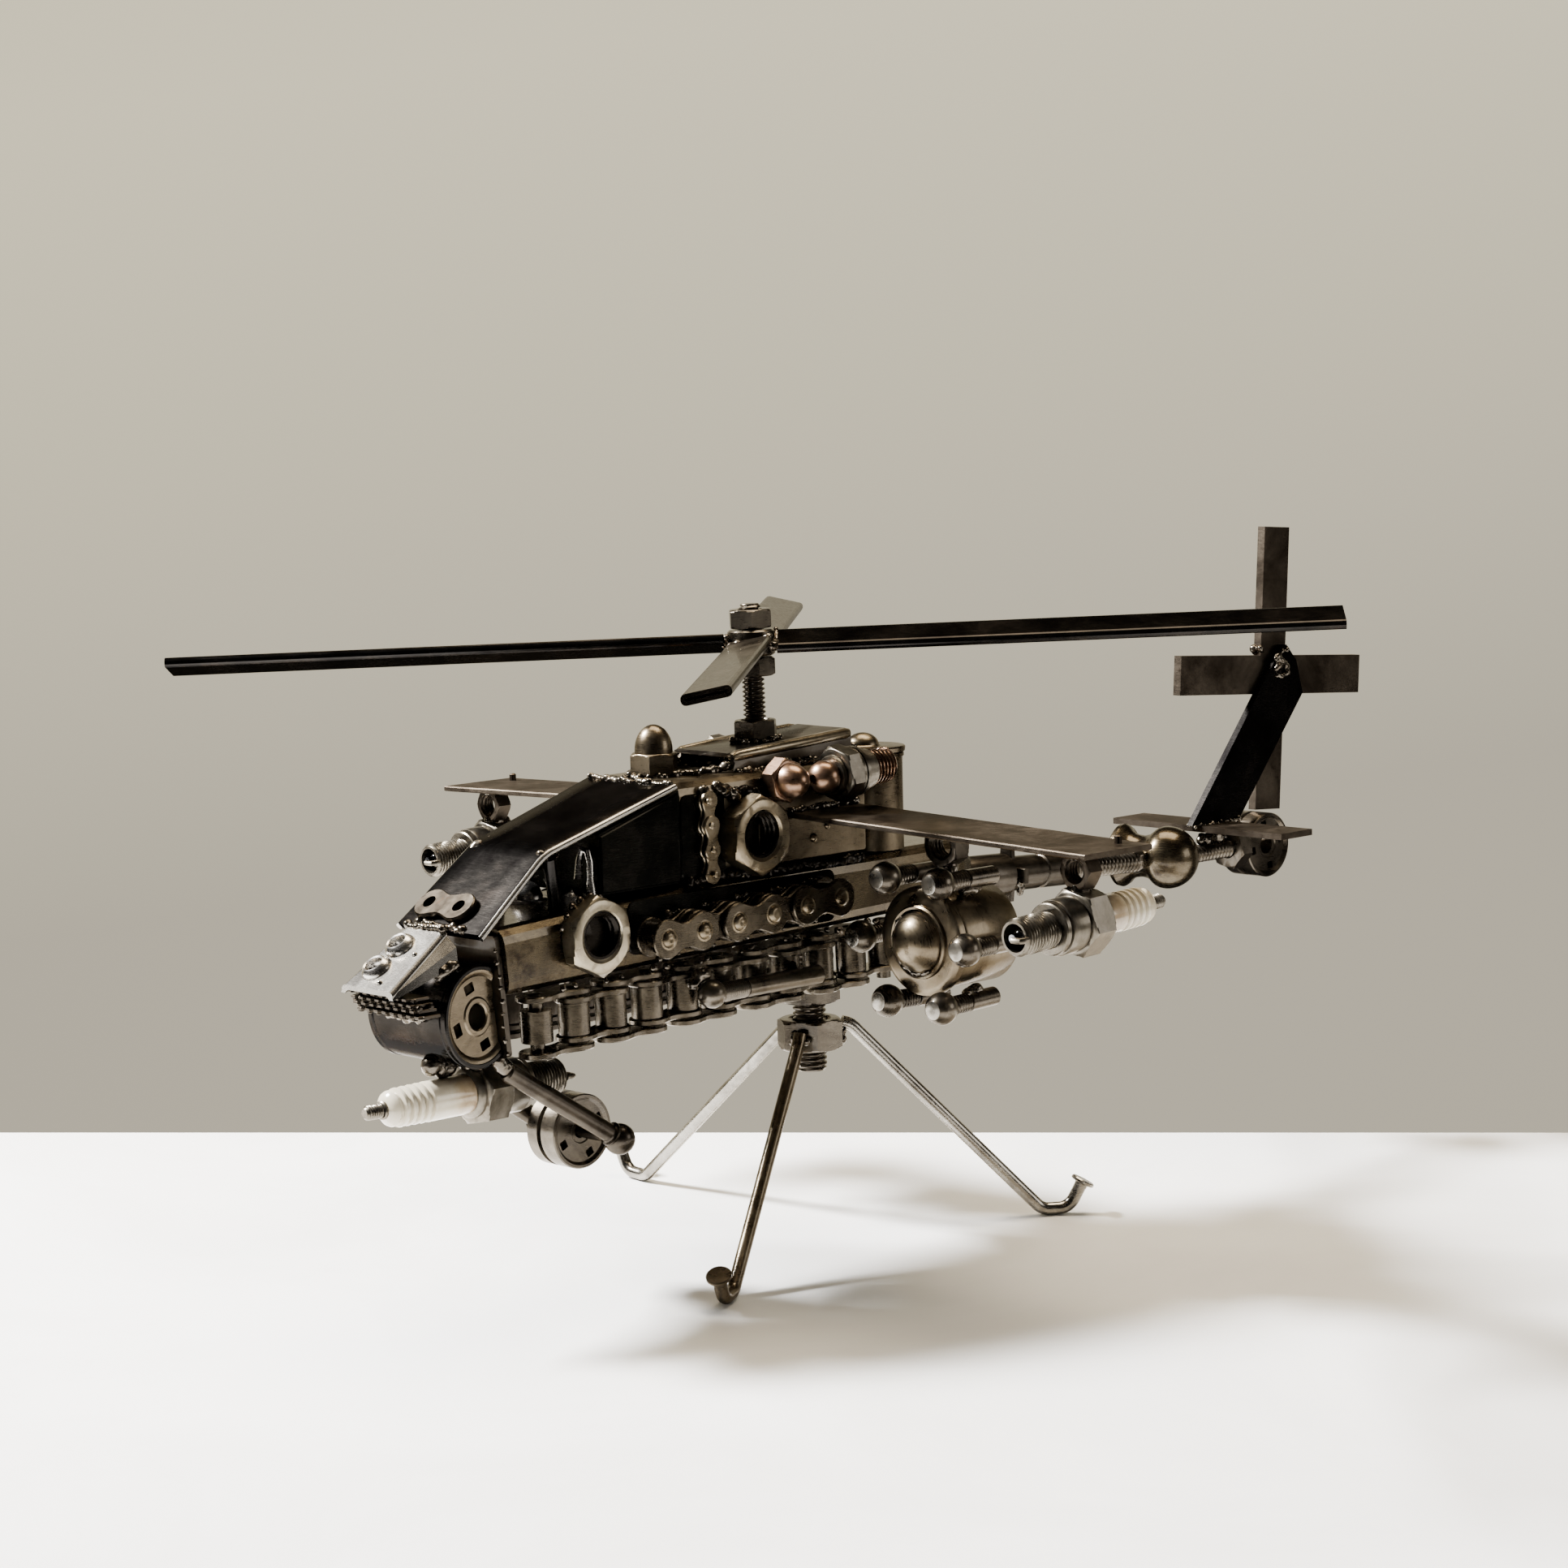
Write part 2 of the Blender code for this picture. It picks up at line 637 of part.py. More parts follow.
def build_roof(airframe, finish):
    wall, half, foot = ROOF_WALL, ROOF_HALF, ROOF_FOOT
    sections = []
    for x, top in ((CABIN_REAR, ROOF_TOP_REAR), (ROOF_FRONT, ROOF_TOP_FRONT)):
        outer = [(-half, foot), (-half, top - 2.5), (0.8 - half, top - 0.7), (2.5 - half, top),
                 (half - 2.5, top), (half - 0.8, top - 0.7), (half, top - 2.5), (half, foot)]
        inner = [(half - wall, foot), (half - wall, top - 2.5), (half - 0.8 - wall, top - 0.9 - wall * 0.6),
                 (half - 2.8, top - wall), (2.8 - half, top - wall),
                 (0.8 - half + wall, top - 0.9 - wall * 0.6), (wall - half, top - 2.5), (wall - half, foot)]
        sections.append([(x, y, z) for y, z in outer + inner])
    place(to_object("roof_channel", loft(sections), finish["dark_steel"]), parent=airframe)

    acorn = to_object("roof_acorn", turned(acorn_profile(5.4, 5.75, 5.0, 7.4), 18), finish["bronzed_steel"])
    place(acorn, (ROOF_ACORN_X, 0, CABIN_TOP + GAP), parent=airframe)

    for name, side in (("port", 1), ("starboard", -1)):
        acorn = to_object(f"exhaust_acorn_{name}", turned(acorn_profile(4.6, 5.4, 4.9, 6.2), 18),
                          finish["copper_tint"])
        x, z = EXHAUST_ACORN
        turn_to_y(acorn, (x, side * (CABIN_HALF + GAP), z), airframe, side)

        profile = [(-reach, radius) for reach, radius in reversed(ball_profile(0.0, 4.6, 6))]
        profile = [point for point in profile if point[0] < 3.0]
        profile += [(3.0, 6.6), (4.2, 7.1), (8.6, 7.1), (9.4, 6.4), (13.2, 6.4), (13.4, 5.9), (16.8, 5.9),
                    (17.0, 4.9), (24.0, 4.9)]
        fitting = to_object(f"exhaust_fitting_{name}", turned(profile, 16), finish["copper_tint"])
        x, z = FITTING_PLACE
        place(fitting, (x, side * (CABIN_HALF + GAP + FITTING_OUT), z), (0, -87, 0), airframe)

        can = turned([(TUBE_TOP + GAP, CAN_RADIUS), (CAN_TOP - 2.0, CAN_RADIUS), (CAN_TOP - 1.8, CAN_RIM),
                      (CAN_TOP, CAN_RIM)], 20)
        can = to_object(f"rear_can_{name}", can, finish["bronzed_steel"])
        dome = turned([(CAN_TOP - 0.8, CAN_DOME_RADIUS)]
                      + dome_profile(CAN_TOP, CAN_DOME_RADIUS, CAN_DOME_HEIGHT), 16)
        dome = place(to_object("dome", dome), (CAN_DOME_SHIFT, -side * CAN_DOME_SHIFT, 0))
        place(union(can, dome), (CAN_X, side * CAN_Y, 0), parent=airframe)


def acorn_profile(hex_height, hex_radius, dome_radius, dome_length):
    """Cap nut about Z: a collar the size of its hexagon, then a domed cap."""
    collar = [(0.0, hex_radius - 0.5), (0.5, hex_radius), (hex_height - 0.5, hex_radius)]
    dome = dome_profile(hex_height + 1.2, dome_radius - 0.1, dome_length - 1.2)
    return collar + [(hex_height, dome_radius)] + dome


# ---------------------------------------------------------------- flanks and belly

def build_flanks(airframe, finish):
    for name, side in (("port", 1), ("starboard", -1)):
        nut = to_object(f"large_nut_{name}",
                        nut_mesh(LARGE_NUT_FLATS, LARGE_NUT_HEIGHT, LARGE_NUT_BORE, 18, FLANK_NUT_CHAMFER),
                        finish["bronzed_steel"])
        x, z = LARGE_NUT_PLACE
        turn_to_y(nut, (x, side * (CABIN_HALF + GAP), z), airframe, side)
        nut = to_object(f"small_nut_{name}",
                        nut_mesh(SMALL_NUT_FLATS, SMALL_NUT_HEIGHT, SMALL_NUT_BORE, 18, FLANK_NUT_CHAMFER),
                        finish["bronzed_steel"])
        x, z = SMALL_NUT_PLACE
        turn_to_y(nut, (x, side * (TUBE_HALF + GAP), z), airframe, side)

        outline = link_outline(CHAIN_PITCH, 6, PLATE_RADIUS, PLATE_WAIST)
        chain = to_object(f"side_chain_{name}", prism(outline, 0, SIDE_CHAIN_DEPTH), finish["dark_steel"])
        chain.matrix_local = (Matrix.Rotation(math.radians(SIDE_CHAIN_DROP), 4, "Y")
                              @ Matrix(((1, 0, 0), (0, 0, side), (0, -side, 0))).to_4x4())
        x, z = SIDE_CHAIN_PLACE
        chain.location = mm(x, side * (TUBE_HALF + GAP), z)
        chain.parent = airframe

        outline = link_outline(CHAIN_PITCH, 11, BELLY_PLATE_RADIUS, PLATE_WAIST)
        lower = to_object(f"belly_chain_{name}", prism(outline, 0, 3.0), finish["dark_steel"])
        pieces = [place(to_object("plate", prism(outline, BELLY_CHAIN - 3.0, BELLY_CHAIN)))]
        for k in range(11):
            barrel = to_object("roller", turned([(1.5, ROLLER_R), (BELLY_CHAIN - 1.5, ROLLER_R)], 8))
            pieces.append(place(barrel, (k * CHAIN_PITCH, 0, 0)))
        height = tube_bottom(BELLY_CHAIN_REAR) - 0.8 - BELLY_CHAIN
        place(union(lower, *pieces), (BELLY_CHAIN_REAR, side * BELLY_CHAIN_Y, height),
              (0, BELLY_CHAIN_DROP, 0), airframe)

        outline = link_outline(SMALL_PITCH, 4, 2.6, 1.7)
        small = to_object(f"door_chain_{name}", prism(outline, 0, DOOR_CHAIN_DEPTH), finish["dark_steel"])
        small.matrix_local = Matrix(((0, 1, 0), (0, 0, side), (side, 0, 0))).to_4x4()
        x, z = DOOR_CHAIN_PLACE
        first_pin = z if side > 0 else z + 3 * SMALL_PITCH
        small.location = mm(x, side * (CABIN_HALF + GAP), first_pin)
        small.parent = airframe

        profile = [(0.0, BELLY_BOLT_RADIUS), (BELLY_BOLT_LENGTH, BELLY_BOLT_RADIUS)]
        profile += ball_profile(BELLY_BOLT_LENGTH + 3.4, 3.9, 8)[2:]
        bolt = to_object(f"belly_bolt_{name}", turned(profile, 14), finish["bronzed_steel"])
        x, y, z = BELLY_BOLT_PLACE
        turn_to_x(bolt, (x, side * y, z), airframe)


# ---------------------------------------------------------------- wings

def wing_top(y):
    return WING_TOP_ROOT + (WING_TOP_TIP - WING_TOP_ROOT) * (abs(y) - WING_ROOT) / (WING_TIP - WING_ROOT)


def build_wings(airframe, finish):
    for name, side in (("port", 1), ("starboard", -1)):
        sections = []
        for y, (rear, front) in ((WING_ROOT, WING_ROOT_CHORD), (WING_TIP, WING_TIP_CHORD)):
            top = wing_top(y)
            sections.append([(rear, side * y, top), (front, side * y, top),
                             (front, side * y, top - WING_THICKNESS), (rear, side * y, top - WING_THICKNESS)])
        wing = to_object(f"wing_{name}", loft(sections), finish["dark_steel"], smooth=False)
        tip_nut = to_object("tip_nut", nut_mesh(9.3, 5.0, 2.7, 18, 0.6))
        turn_to_x(tip_nut, (-5.0, side * PLUG_Y, wing_top(PLUG_Y) - WING_THICKNESS - 4.4), None, 0.0, 30.0)
        place(union(wing, tip_nut), parent=airframe)
        build_pod(name, side, airframe, finish)
        build_plug(name, (PLUG_X, side * PLUG_Y, PLUG_Z), (0, -90 - PLUG_TILT, 0), airframe, finish)


def build_pod(name, side, airframe, finish):
    """Rocket pod about X: capped can, ring of ball-ended bolts, and the nut it hangs by."""
    dome = [(z, radius) for z, radius in ball_profile(0, 9.2, 12) if z > 3.0]
    dome = [(-z + 3.0, radius) for z, radius in reversed(dome)]
    profile = dome + [(0.0, 9.8), (0.6, 13.9), (1.4, POD_DISC_RADIUS), (3.2, POD_DISC_RADIUS), (3.6, 12.8),
                      (4.8, 12.8), (5.2, POD_RADIUS), (POD_LENGTH - 0.8, POD_RADIUS), (POD_LENGTH, 12.8)]
    pod = to_object(f"rocket_pod_{name}", turned(profile, 24), finish["bronzed_steel"])
    pieces = []
    for k in range(ROCKET_COUNT):
        angle = 2 * math.pi * (k + 0.5) / ROCKET_COUNT
        ball = [(-reach, radius) for reach, radius
                in reversed(ball_profile(ROCKET_AHEAD, ROCKET_BALL, 7, ROCKET_FLAT))]
        ball = [point for point in ball if point[0] < ROCKET_NECK]
        rocket = to_object("rocket", turned(ball + [(ROCKET_NECK, ROCKET_ROD), (ROCKET_END, ROCKET_ROD)], 10))
        place(rocket, (ROCKET_CIRCLE * math.cos(angle), ROCKET_CIRCLE * math.sin(angle), 0))
        bead = to_object("bead", turned(ball_profile(0, 2.4, 4), 6))
        reach = (POD_RADIUS + ROCKET_CIRCLE - ROCKET_ROD) / 2
        place(bead, (reach * math.cos(angle), reach * math.sin(angle), 14.0 + 3 * (k % 2)))
        pieces += [rocket, bead]
    # The pod's own Z runs aft, its own X runs up.
    top = -wing_top(POD_Y) + WING_THICKNESS + GAP
    hang = -POD_Z - top
    nut = to_object("hanger", nut_mesh(11.6, 5.4, 3.2, 18, 0.7))
    pieces.append(place(nut, (hang - 5.8, 0, 9.0)))
    neck = to_object("neck", turned([(POD_RADIUS - 2.0, 2.8), (hang - 9.8, 2.8)], 10))
    pieces.append(place(neck, (0, 0, 11.7), (0, 90, 0)))
    union(pod, *pieces)
    pod.matrix_local = Matrix(((0, 0, -1), (0, 1, 0), (1, 0, 0))).to_4x4()
    pod.location = mm(POD_FRONT, side * POD_Y, POD_Z)
    pod.parent = airframe


def build_plug(name, location, rotation, airframe, finish, longer=0.0):
    """Small spark plug along its own Z, from the threaded end at zero to the terminal."""
    shell = [(0.0, 4.5), (0.6, 4.95), (12.6, 4.95), (12.7, 6.8), (14.6, 6.8), (14.8, 7.3), (21.4, 7.3)]
    body = to_object(f"plug_shell_{name}", turned(shell + [(31.4, 6.4)], 18, 3.6), finish["plug_shell"])
    hexagon = to_object("hexagon", nut_mesh(16.0, 8.0, 5.0, 18, 1.0))
    union(body, place(hexagon, (0, 0, 21.5)))
    core = [(1.5, 3.2), (31.9, 3.2), (32.0, 5.3), (41.0 + longer, 5.2), (48.6 + longer, 4.9),
            (50.6 + longer, 3.4), (51.2 + longer, 2.0), (PLUG_LENGTH + longer, 2.0)]
    insulator = to_object(f"plug_core_{name}", turned(core, 18), finish["ceramic"])
    for obj in (body, insulator):
        place(obj, location, rotation, airframe)


# ---------------------------------------------------------------- tail

def build_tail(airframe, finish):
    sleeve = turned([(0.0, 6.4), (30.0, 6.4), (30.2, 5.0), (44.0, 5.0), (44.2, 4.4), (45.6, 4.4), (45.8, 5.0),
                     (58.0, 5.0)], 18)
    sleeve = to_object("tail_sleeve", sleeve, finish["dark_steel"])
    plate = to_object("plate", prism([(-7.6, -7.6), (7.6, -7.6), (7.6, 7.6), (-7.6, 7.6)], 31.0, 33.0))
    stud = to_object("stud", turned([(56.0, 3.4), (90.0, 3.4)], 14))
    union(sleeve, plate, stud)
    place(sleeve, (TUBE_REAR - GAP, 0, TAIL_Z + 4.0), (0, -92.5, 0), airframe)

    profile = [(-13.5, 8.8), (-12.6, 9.7), (-11.0, 9.5), (-8.5, 7.2), (-4.5, 6.4), (-1.0, 7.4), (1.0, 9.2)]
    profile += [(3.4 + 9.7 * math.sin(math.radians(a)), max(9.7 * math.cos(math.radians(a)), 0.5))
                for a in (-8, 12, 32, 52, 70, 90)]
    knob = to_object("tail_knob", turned(profile, 24), finish["bronzed_steel"])
    knob.rotation_euler = degrees(-90, 0, 15)
    knob.location = mm(KNOB_X, 0, TAIL_Z)
    knob.parent = airframe

    rod = to_object("tail_rod", turned([(0, 2.8), (25.2, 2.8)], 14), finish["dark_steel"])
    nut = place(to_object("nut", nut_mesh(12.0, 5.2, 2.2, 18, 0.7)), (0, 0, 19.6))
    weld = prism([(-6.3, -2.0), (-2.2, -2.0), (-2.2, 2.0), (-6.3, 2.0)], 8.0, 15.0)
    union(rod, nut, to_object("weld", weld))
    rod.matrix_local = Matrix(((0, 0, -1), (0, -1, 0), (-1, 0, 0))).to_4x4()
    rod.location = mm(-183.0, 0, TAIL_Z - 1.0)
    rod.parent = airframe

    spool = wheel_mesh(10.2, 6.0, 2.9, 20)
    roller = to_object("tail_roller", spool, finish["bronzed_steel"])
    turn_to_y(roller, (-218.8, -2.0, TAIL_Z - 1.4), airframe)

    plane = prism([(-202.8, -34.0), (-187.8, -34.0), (-187.8, 34.0), (-202.8, 34.0)], -73.0, -71.1)
    place(to_object("tail_plane", plane, finish["dark_steel"], smooth=False), parent=airframe)

    base = -71.1 + GAP
    outline = [(-184.8, base), (-208.0, base), (-224.9, -51.3), (-240.4, -33.6), (-237.3, -22.9),
               (-232.4, -17.6), (-230.4, -17.5)]
    fin = to_object("tail_fin", loft([[(x, -FIN_HALF, z) for x, z in outline],
                                      [(x, FIN_HALF, z) for x, z in outline]]), finish["black_steel"])
    hub_x, hub_z = TAIL_HUB
    pin = to_object("pin", turned([(-0.6, 1.6), (5.6, 1.6), (5.7, 3.6), (6.9, 3.4), (7.8, 2.2)], 14))
    pin.rotation_euler = degrees(90, 0, 0)
    pin.location = mm(hub_x, 0, hub_z)
    place(union(fin, pin), parent=airframe)

    axis = empty("tail_rotor_axis", (hub_x, -FIN_HALF - GAP - 0.6, hub_z), (90, 0, 0), airframe)
    half = TAIL_ARM_WIDTH / 2
    bars = []
    for angle, drop in ((0, TAIL_ARM_DROP), (90, 0.0)):
        low, high = -half - drop, half - drop
        bar = prism([(-TAIL_ARM, low), (TAIL_ARM, low), (TAIL_ARM, high), (-TAIL_ARM, high)], 0, 2.8)
        bars.append(place(to_object("bar", bar), rotation=(0, 0, angle)))
    rotor = bars[0]
    rotor.name = "tail_rotor"
    rotor.data.materials.append(finish["dark_steel"])
    union(rotor, bars[1])
    subtract(rotor, to_object("bore", turned([(-2, 1.6 + GAP), (5, 1.6 + GAP)], 14)))
    place(rotor, rotation=(0, 0, TAIL_ROTOR_TILT), parent=axis)


def wheel_mesh(radius, half_width, bore, segments=24):
    """Spool wheel about Z: two rims, a groove between them and a sunk face with a hub at each end."""
    rim, sunk = radius - 1.2, half_width - 0.8
    profile = [(-sunk, bore), (-sunk, rim - 0.4), (-half_width, rim), (-half_width, radius),
               (-half_width * 0.35, radius), (-half_width * 0.3, radius - 1.6), (-half_width * 0.05, radius - 1.6),
               (0.0, radius), (half_width, radius), (half_width, rim), (sunk, rim - 0.4), (sunk, bore)]
    sections = [[(x, y, z) for x, y in ring_points(segments, size, math.pi / segments)]
                for z, size in profile]
    return loft(sections, closed=True)


# ---------------------------------------------------------------- front gear

def build_gear(airframe, finish):
    axle = to_object("gear_fork", turned([(-15.5, 1.6), (15.5, 1.6)], 12), finish["dark_steel"])
    axle.rotation_euler = degrees(90, 0, 0)
    axle.location = mm(AXLE_X, 0, AXLE_Z)
    pieces = []
    for side in (-1, 1):
        end = Vector((AXLE_X, side * 15.5, AXLE_Z))
        root = Vector((102.6, side * 13.3, -102.2))
        strut = to_object("strut", turned([(0, 2.5), ((root - end).length, 2.5)], 12))
        strut.rotation_euler = (root - end).to_track_quat("Z", "Y").to_euler()
        strut.location = mm(*end)
        ball = place(to_object("ball", turned(ball_profile(0, 4.2, 8), 12)), tuple(end))
        pieces += [strut, ball]
    union(axle, *pieces)
    axle.parent = airframe

    axis = empty("front_wheel_axis", (AXLE_X, -5.0, AXLE_Z), (-90, 0, 0), airframe)
    wheel = to_object("front_wheel", wheel_mesh(WHEEL_RADIUS, 5.7, 1.6 + GAP), finish["bronzed_steel"])
    place(wheel, parent=axis)


# ---------------------------------------------------------------- stand

def build_stand_bolt(airframe, finish):
    bolt = to_object("stand_bolt", turned([(BOLT_TIP, 4.1), (BOLT_TIP + 0.8, BOLT_RADIUS),
                                           (tube_bottom(BOLT_X) - GAP, BOLT_RADIUS)], 20), finish["dark_steel"])
    nut = place(to_object("nut", nut_mesh(BELLY_NUT_FLATS, 7.4, BOLT_RADIUS - 0.4)), (0, 0, -102.6), (0, 0, 30))
    place(union(bolt, nut), (BOLT_X, 0, 0), parent=airframe)


def leg_path(direction, reach, over_top, nut_height):
    """Nail's centre line in the vertical plane that runs out from the nut."""
    low = NAIL_RADIUS * math.cos(math.pi / 10)
    if over_top:
        points = [(9.2, nut_height + 2.8), (11.6, nut_height + 2.0), (13.6, nut_height + 0.2)]
    else:
        points = [(10.8, nut_height - 0.8)]
    slope = math.degrees(math.atan2(points[-1][1] - low, reach - points[-1][0]))
    for step in range(9):
        angle = math.radians(-90 - slope + step * (slope + 62) / 8)
        if math.degrees(angle) >= -90 and len(points) and points[-1][0] < reach:
            points += [(reach - FOOT_FLAT / 2, low), (reach + FOOT_FLAT / 2, low)]
        shift = FOOT_FLAT / 2 if math.degrees(angle) >= -90 else -FOOT_FLAT / 2
        points.append((reach + shift + FOOT_BEND * math.cos(angle), low + FOOT_BEND * (1 + math.sin(angle))))
    lift = math.radians(62)
    end_x, end_z = points[-1]
    points.append((end_x + 5.0 * math.cos(lift), end_z + 5.0 * math.sin(lift)))
    return [(x * math.cos(direction), x * math.sin(direction), z) for x, z in points]


def build_stand(airframe, finish):
    bpy.context.view_layer.update()
    centre = airframe.matrix_world @ mm(BOLT_X, 0, (NUT_LOW + NUT_HIGH) / 2)
    stand = empty("stand", (0, 0, 0))
    nut_axis = empty("stand_axis", (BOLT_X, 0, NUT_LOW), (0, 0, 0), airframe)
    bpy.context.view_layer.update()
    nut = to_object("tripod_nut", nut_mesh(STAND_NUT_FLATS, NUT_HIGH - NUT_LOW, BOLT_RADIUS + GAP),
                    finish["dark_steel"])
    nut.parent = stand
    nut.matrix_world = nut_axis.matrix_world @ Matrix.Rotation(math.radians(29), 4, "Z")
    bpy.data.objects.remove(nut_axis, do_unlink=True)
    for name, (compass, reach, over_top) in LEGS.items():
        turn = math.radians(compass)
        path = leg_path(turn, reach, over_top, centre.z / MM)
        side = (-math.sin(turn), math.cos(turn), 0)
        leg = to_object(name, sweep(path, NAIL_RADIUS, side, 10, (3.5, 1.3)), finish["nail_wire"])
        leg.parent = stand
        leg.location = (centre.x, centre.y, 0)


def main():
    clear_scene()
    finish = {name: make_finish(name) for name in FINISHES}
    airframe = empty("airframe", (HUB_X, HUB_Y, HUB_Z), (AIRFRAME_ROLL, AIRFRAME_PITCH, 0))
    build_mast(airframe, finish)
    build_fuselage(airframe, finish)
    build_cockpit(airframe, finish)
    build_nose(airframe, finish)
    build_roof(airframe, finish)
    build_flanks(airframe, finish)
    build_wings(airframe, finish)
    build_plug("gun", (GUN_X, 0, GUN_Z), (0, 90, 0), airframe, finish, GUN_LONGER)
    build_tail(airframe, finish)
    build_gear(airframe, finish)
    build_stand_bolt(airframe, finish)
    build_stand(airframe, finish)


main()
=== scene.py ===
"""Looks of the scrap-metal toy helicopter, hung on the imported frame.

Shapes are made in millimetres in the airframe's frame (X forward, Y port, Z up, zero at the
rotor hub) and placed in the row frame by the matrices below.
"""
import random
from math import atan2, cos, degrees, pi, radians, sin, sqrt, tan

import bmesh
import bpy
from mathutils import Matrix, Vector, noise


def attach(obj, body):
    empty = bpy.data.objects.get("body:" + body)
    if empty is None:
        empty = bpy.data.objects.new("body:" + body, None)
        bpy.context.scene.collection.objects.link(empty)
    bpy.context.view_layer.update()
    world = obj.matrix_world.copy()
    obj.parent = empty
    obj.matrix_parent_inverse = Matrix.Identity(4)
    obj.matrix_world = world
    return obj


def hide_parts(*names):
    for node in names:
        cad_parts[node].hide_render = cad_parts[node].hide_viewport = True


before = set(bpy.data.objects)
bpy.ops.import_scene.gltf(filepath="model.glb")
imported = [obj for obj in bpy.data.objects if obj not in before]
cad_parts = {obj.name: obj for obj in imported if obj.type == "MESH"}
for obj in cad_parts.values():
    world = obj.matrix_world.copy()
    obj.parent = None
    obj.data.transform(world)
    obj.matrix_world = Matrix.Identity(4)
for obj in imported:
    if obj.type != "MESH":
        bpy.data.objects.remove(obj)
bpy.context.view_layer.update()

MM = 0.001
TAU = 2 * pi
SIDES = (("port", 1), ("starboard", -1))
HUB = Vector((67.39, -2.25, 168.7))
BLADE_PITCHES = (18.5, 10.0, 18.5, 14.5)
FIRST_BLADE = -46.9
CHAIN_PITCH = 12.7
DOOR_PITCH = 6.6
STUD_X = -18.6
AXLE_X, AXLE_Z = 66.8, -125.7
TAIL_HUB_X, TAIL_HUB_Z = -229.0, -25.1
NUT_CENTRE = Vector((49.82, 2.93, 56.95))
HEXAGON_ROUND = 0.985
CHAMFER_SLOPE = 1.75
WELD_VOXEL = 0.42
draw = random.Random(7).uniform
noise.seed_set(7)


def turn(x=0.0, y=0.0, z=0.0):
    """Rotation by degrees about X, then Y, then Z."""
    return (Matrix.Rotation(radians(z), 4, "Z") @ Matrix.Rotation(radians(y), 4, "Y")
            @ Matrix.Rotation(radians(x), 4, "X"))


def at(x, y, z, spin=None):
    move = Matrix.Translation((x, y, z))
    return move @ spin if spin else move


def axes(x, y, z, place=(0, 0, 0)):
    """Matrix whose columns are the given axes and place."""
    return Matrix((*zip(x, y, z, place), (0, 0, 0, 1)))


def to_y(side=1):
    """Aim Z outboard on the given side."""
    return turn(-90 * side)


def flank(side, y):
    """Lay the XY plane on the model's flank, Z outboard."""
    return axes((1, 0, 0), (0, 0, 1), (0, -side, 0), (0, side * y, 0))


IDENTITY = Matrix.Identity(4)
AIR = Matrix.Translation(HUB) @ turn(2.66, -0.53)
MAST = AIR @ turn(1.05, 0.68)
TO_X = axes((0, 1, 0), (0, 0, 1), (1, 0, 0))
AFT = axes((0, 0, 1), (0, 1, 0), (-1, 0, 0))


# ---- shapes

def ridge(turns):
    """Rounded thread crest: 1 on top, 0 in the root."""
    wave = 1 - abs(2 * (turns % 1.0) - 1)
    wave = min(max((wave - 0.14) / 0.66, 0.0), 1.0)
    return wave * wave * (3 - 2 * wave)


def hexagon(angle, flats):
    sixth = radians(60)
    return flats / 2 / cos((angle + sixth / 2) % sixth - sixth / 2)


def ring_of(seg, radius, z):
    """Ring of points at height z; the radius is a number or a function of the angle."""
    ring = []
    for k in range(seg):
        angle = TAU * k / seg
        r = radius(angle) if callable(radius) else radius
        ring.append((r * cos(angle), r * sin(angle), z))
    return ring


def thread_ring(seg, radius, z, pitch):
    """Ring of a thread at height z; the radius is a function of the crest from ridge()."""
    ring = []
    for k in range(seg):
        r = radius(ridge(z / pitch - k / seg))
        ring.append((r * cos(TAU * k / seg), r * sin(TAU * k / seg), z))
    return ring


def inset(outline, distance):
    """Move a closed counter-clockwise outline inwards."""
    moved = []
    count = len(outline)
    for k in range(count):
        before, here, after = (Vector(outline[(k + j) % count]) for j in (-1, 0, 1))
        first = (here - before).normalized()
        second = (after - here).normalized()
        normal = Vector((-(first.y + second.y), first.x + second.x))
        length = max(normal.length, 0.4)
        moved.append(tuple(here + normal.normalized() * distance * min(2 / length, 1.6)))
    return moved


def box_outline(x0, x1, y0, y1, corner=0.6, steps=4):
    """Rectangle with rounded corners."""
    points = []
    for k, (cx, cy) in enumerate(((x1, y1), (x0, y1), (x0, y0), (x1, y0))):
        sx = 1 if cx == x1 else -1
        sy = 1 if cy == y1 else -1
        for j in range(steps + 1):
            angle = radians(90 * k + 90 * j / steps)
            points.append((cx - sx * corner + corner * cos(angle), cy - sy * corner + corner * sin(angle)))
    return points


def link_outline(pitch, radius, waist, steps=10):
    """Chain plate from pin to pin along X, waisted in the middle."""
    half = []
    for k in range(steps + 1):
        angle = radians(-90 + 180 * k / steps)
        half.append((pitch + radius * cos(angle), radius * sin(angle)))
    top = []
    for k in range(1, steps):
        share = k / steps
        dip = 0.5 - 0.5 * cos(TAU * share)
        top.append((pitch * (1 - share), radius - (radius - waist) * dip))
    other = [(pitch - x, -y) for x, y in half]
    bottom = [(pitch - x, -y) for x, y in top]
    return half + top + other + bottom


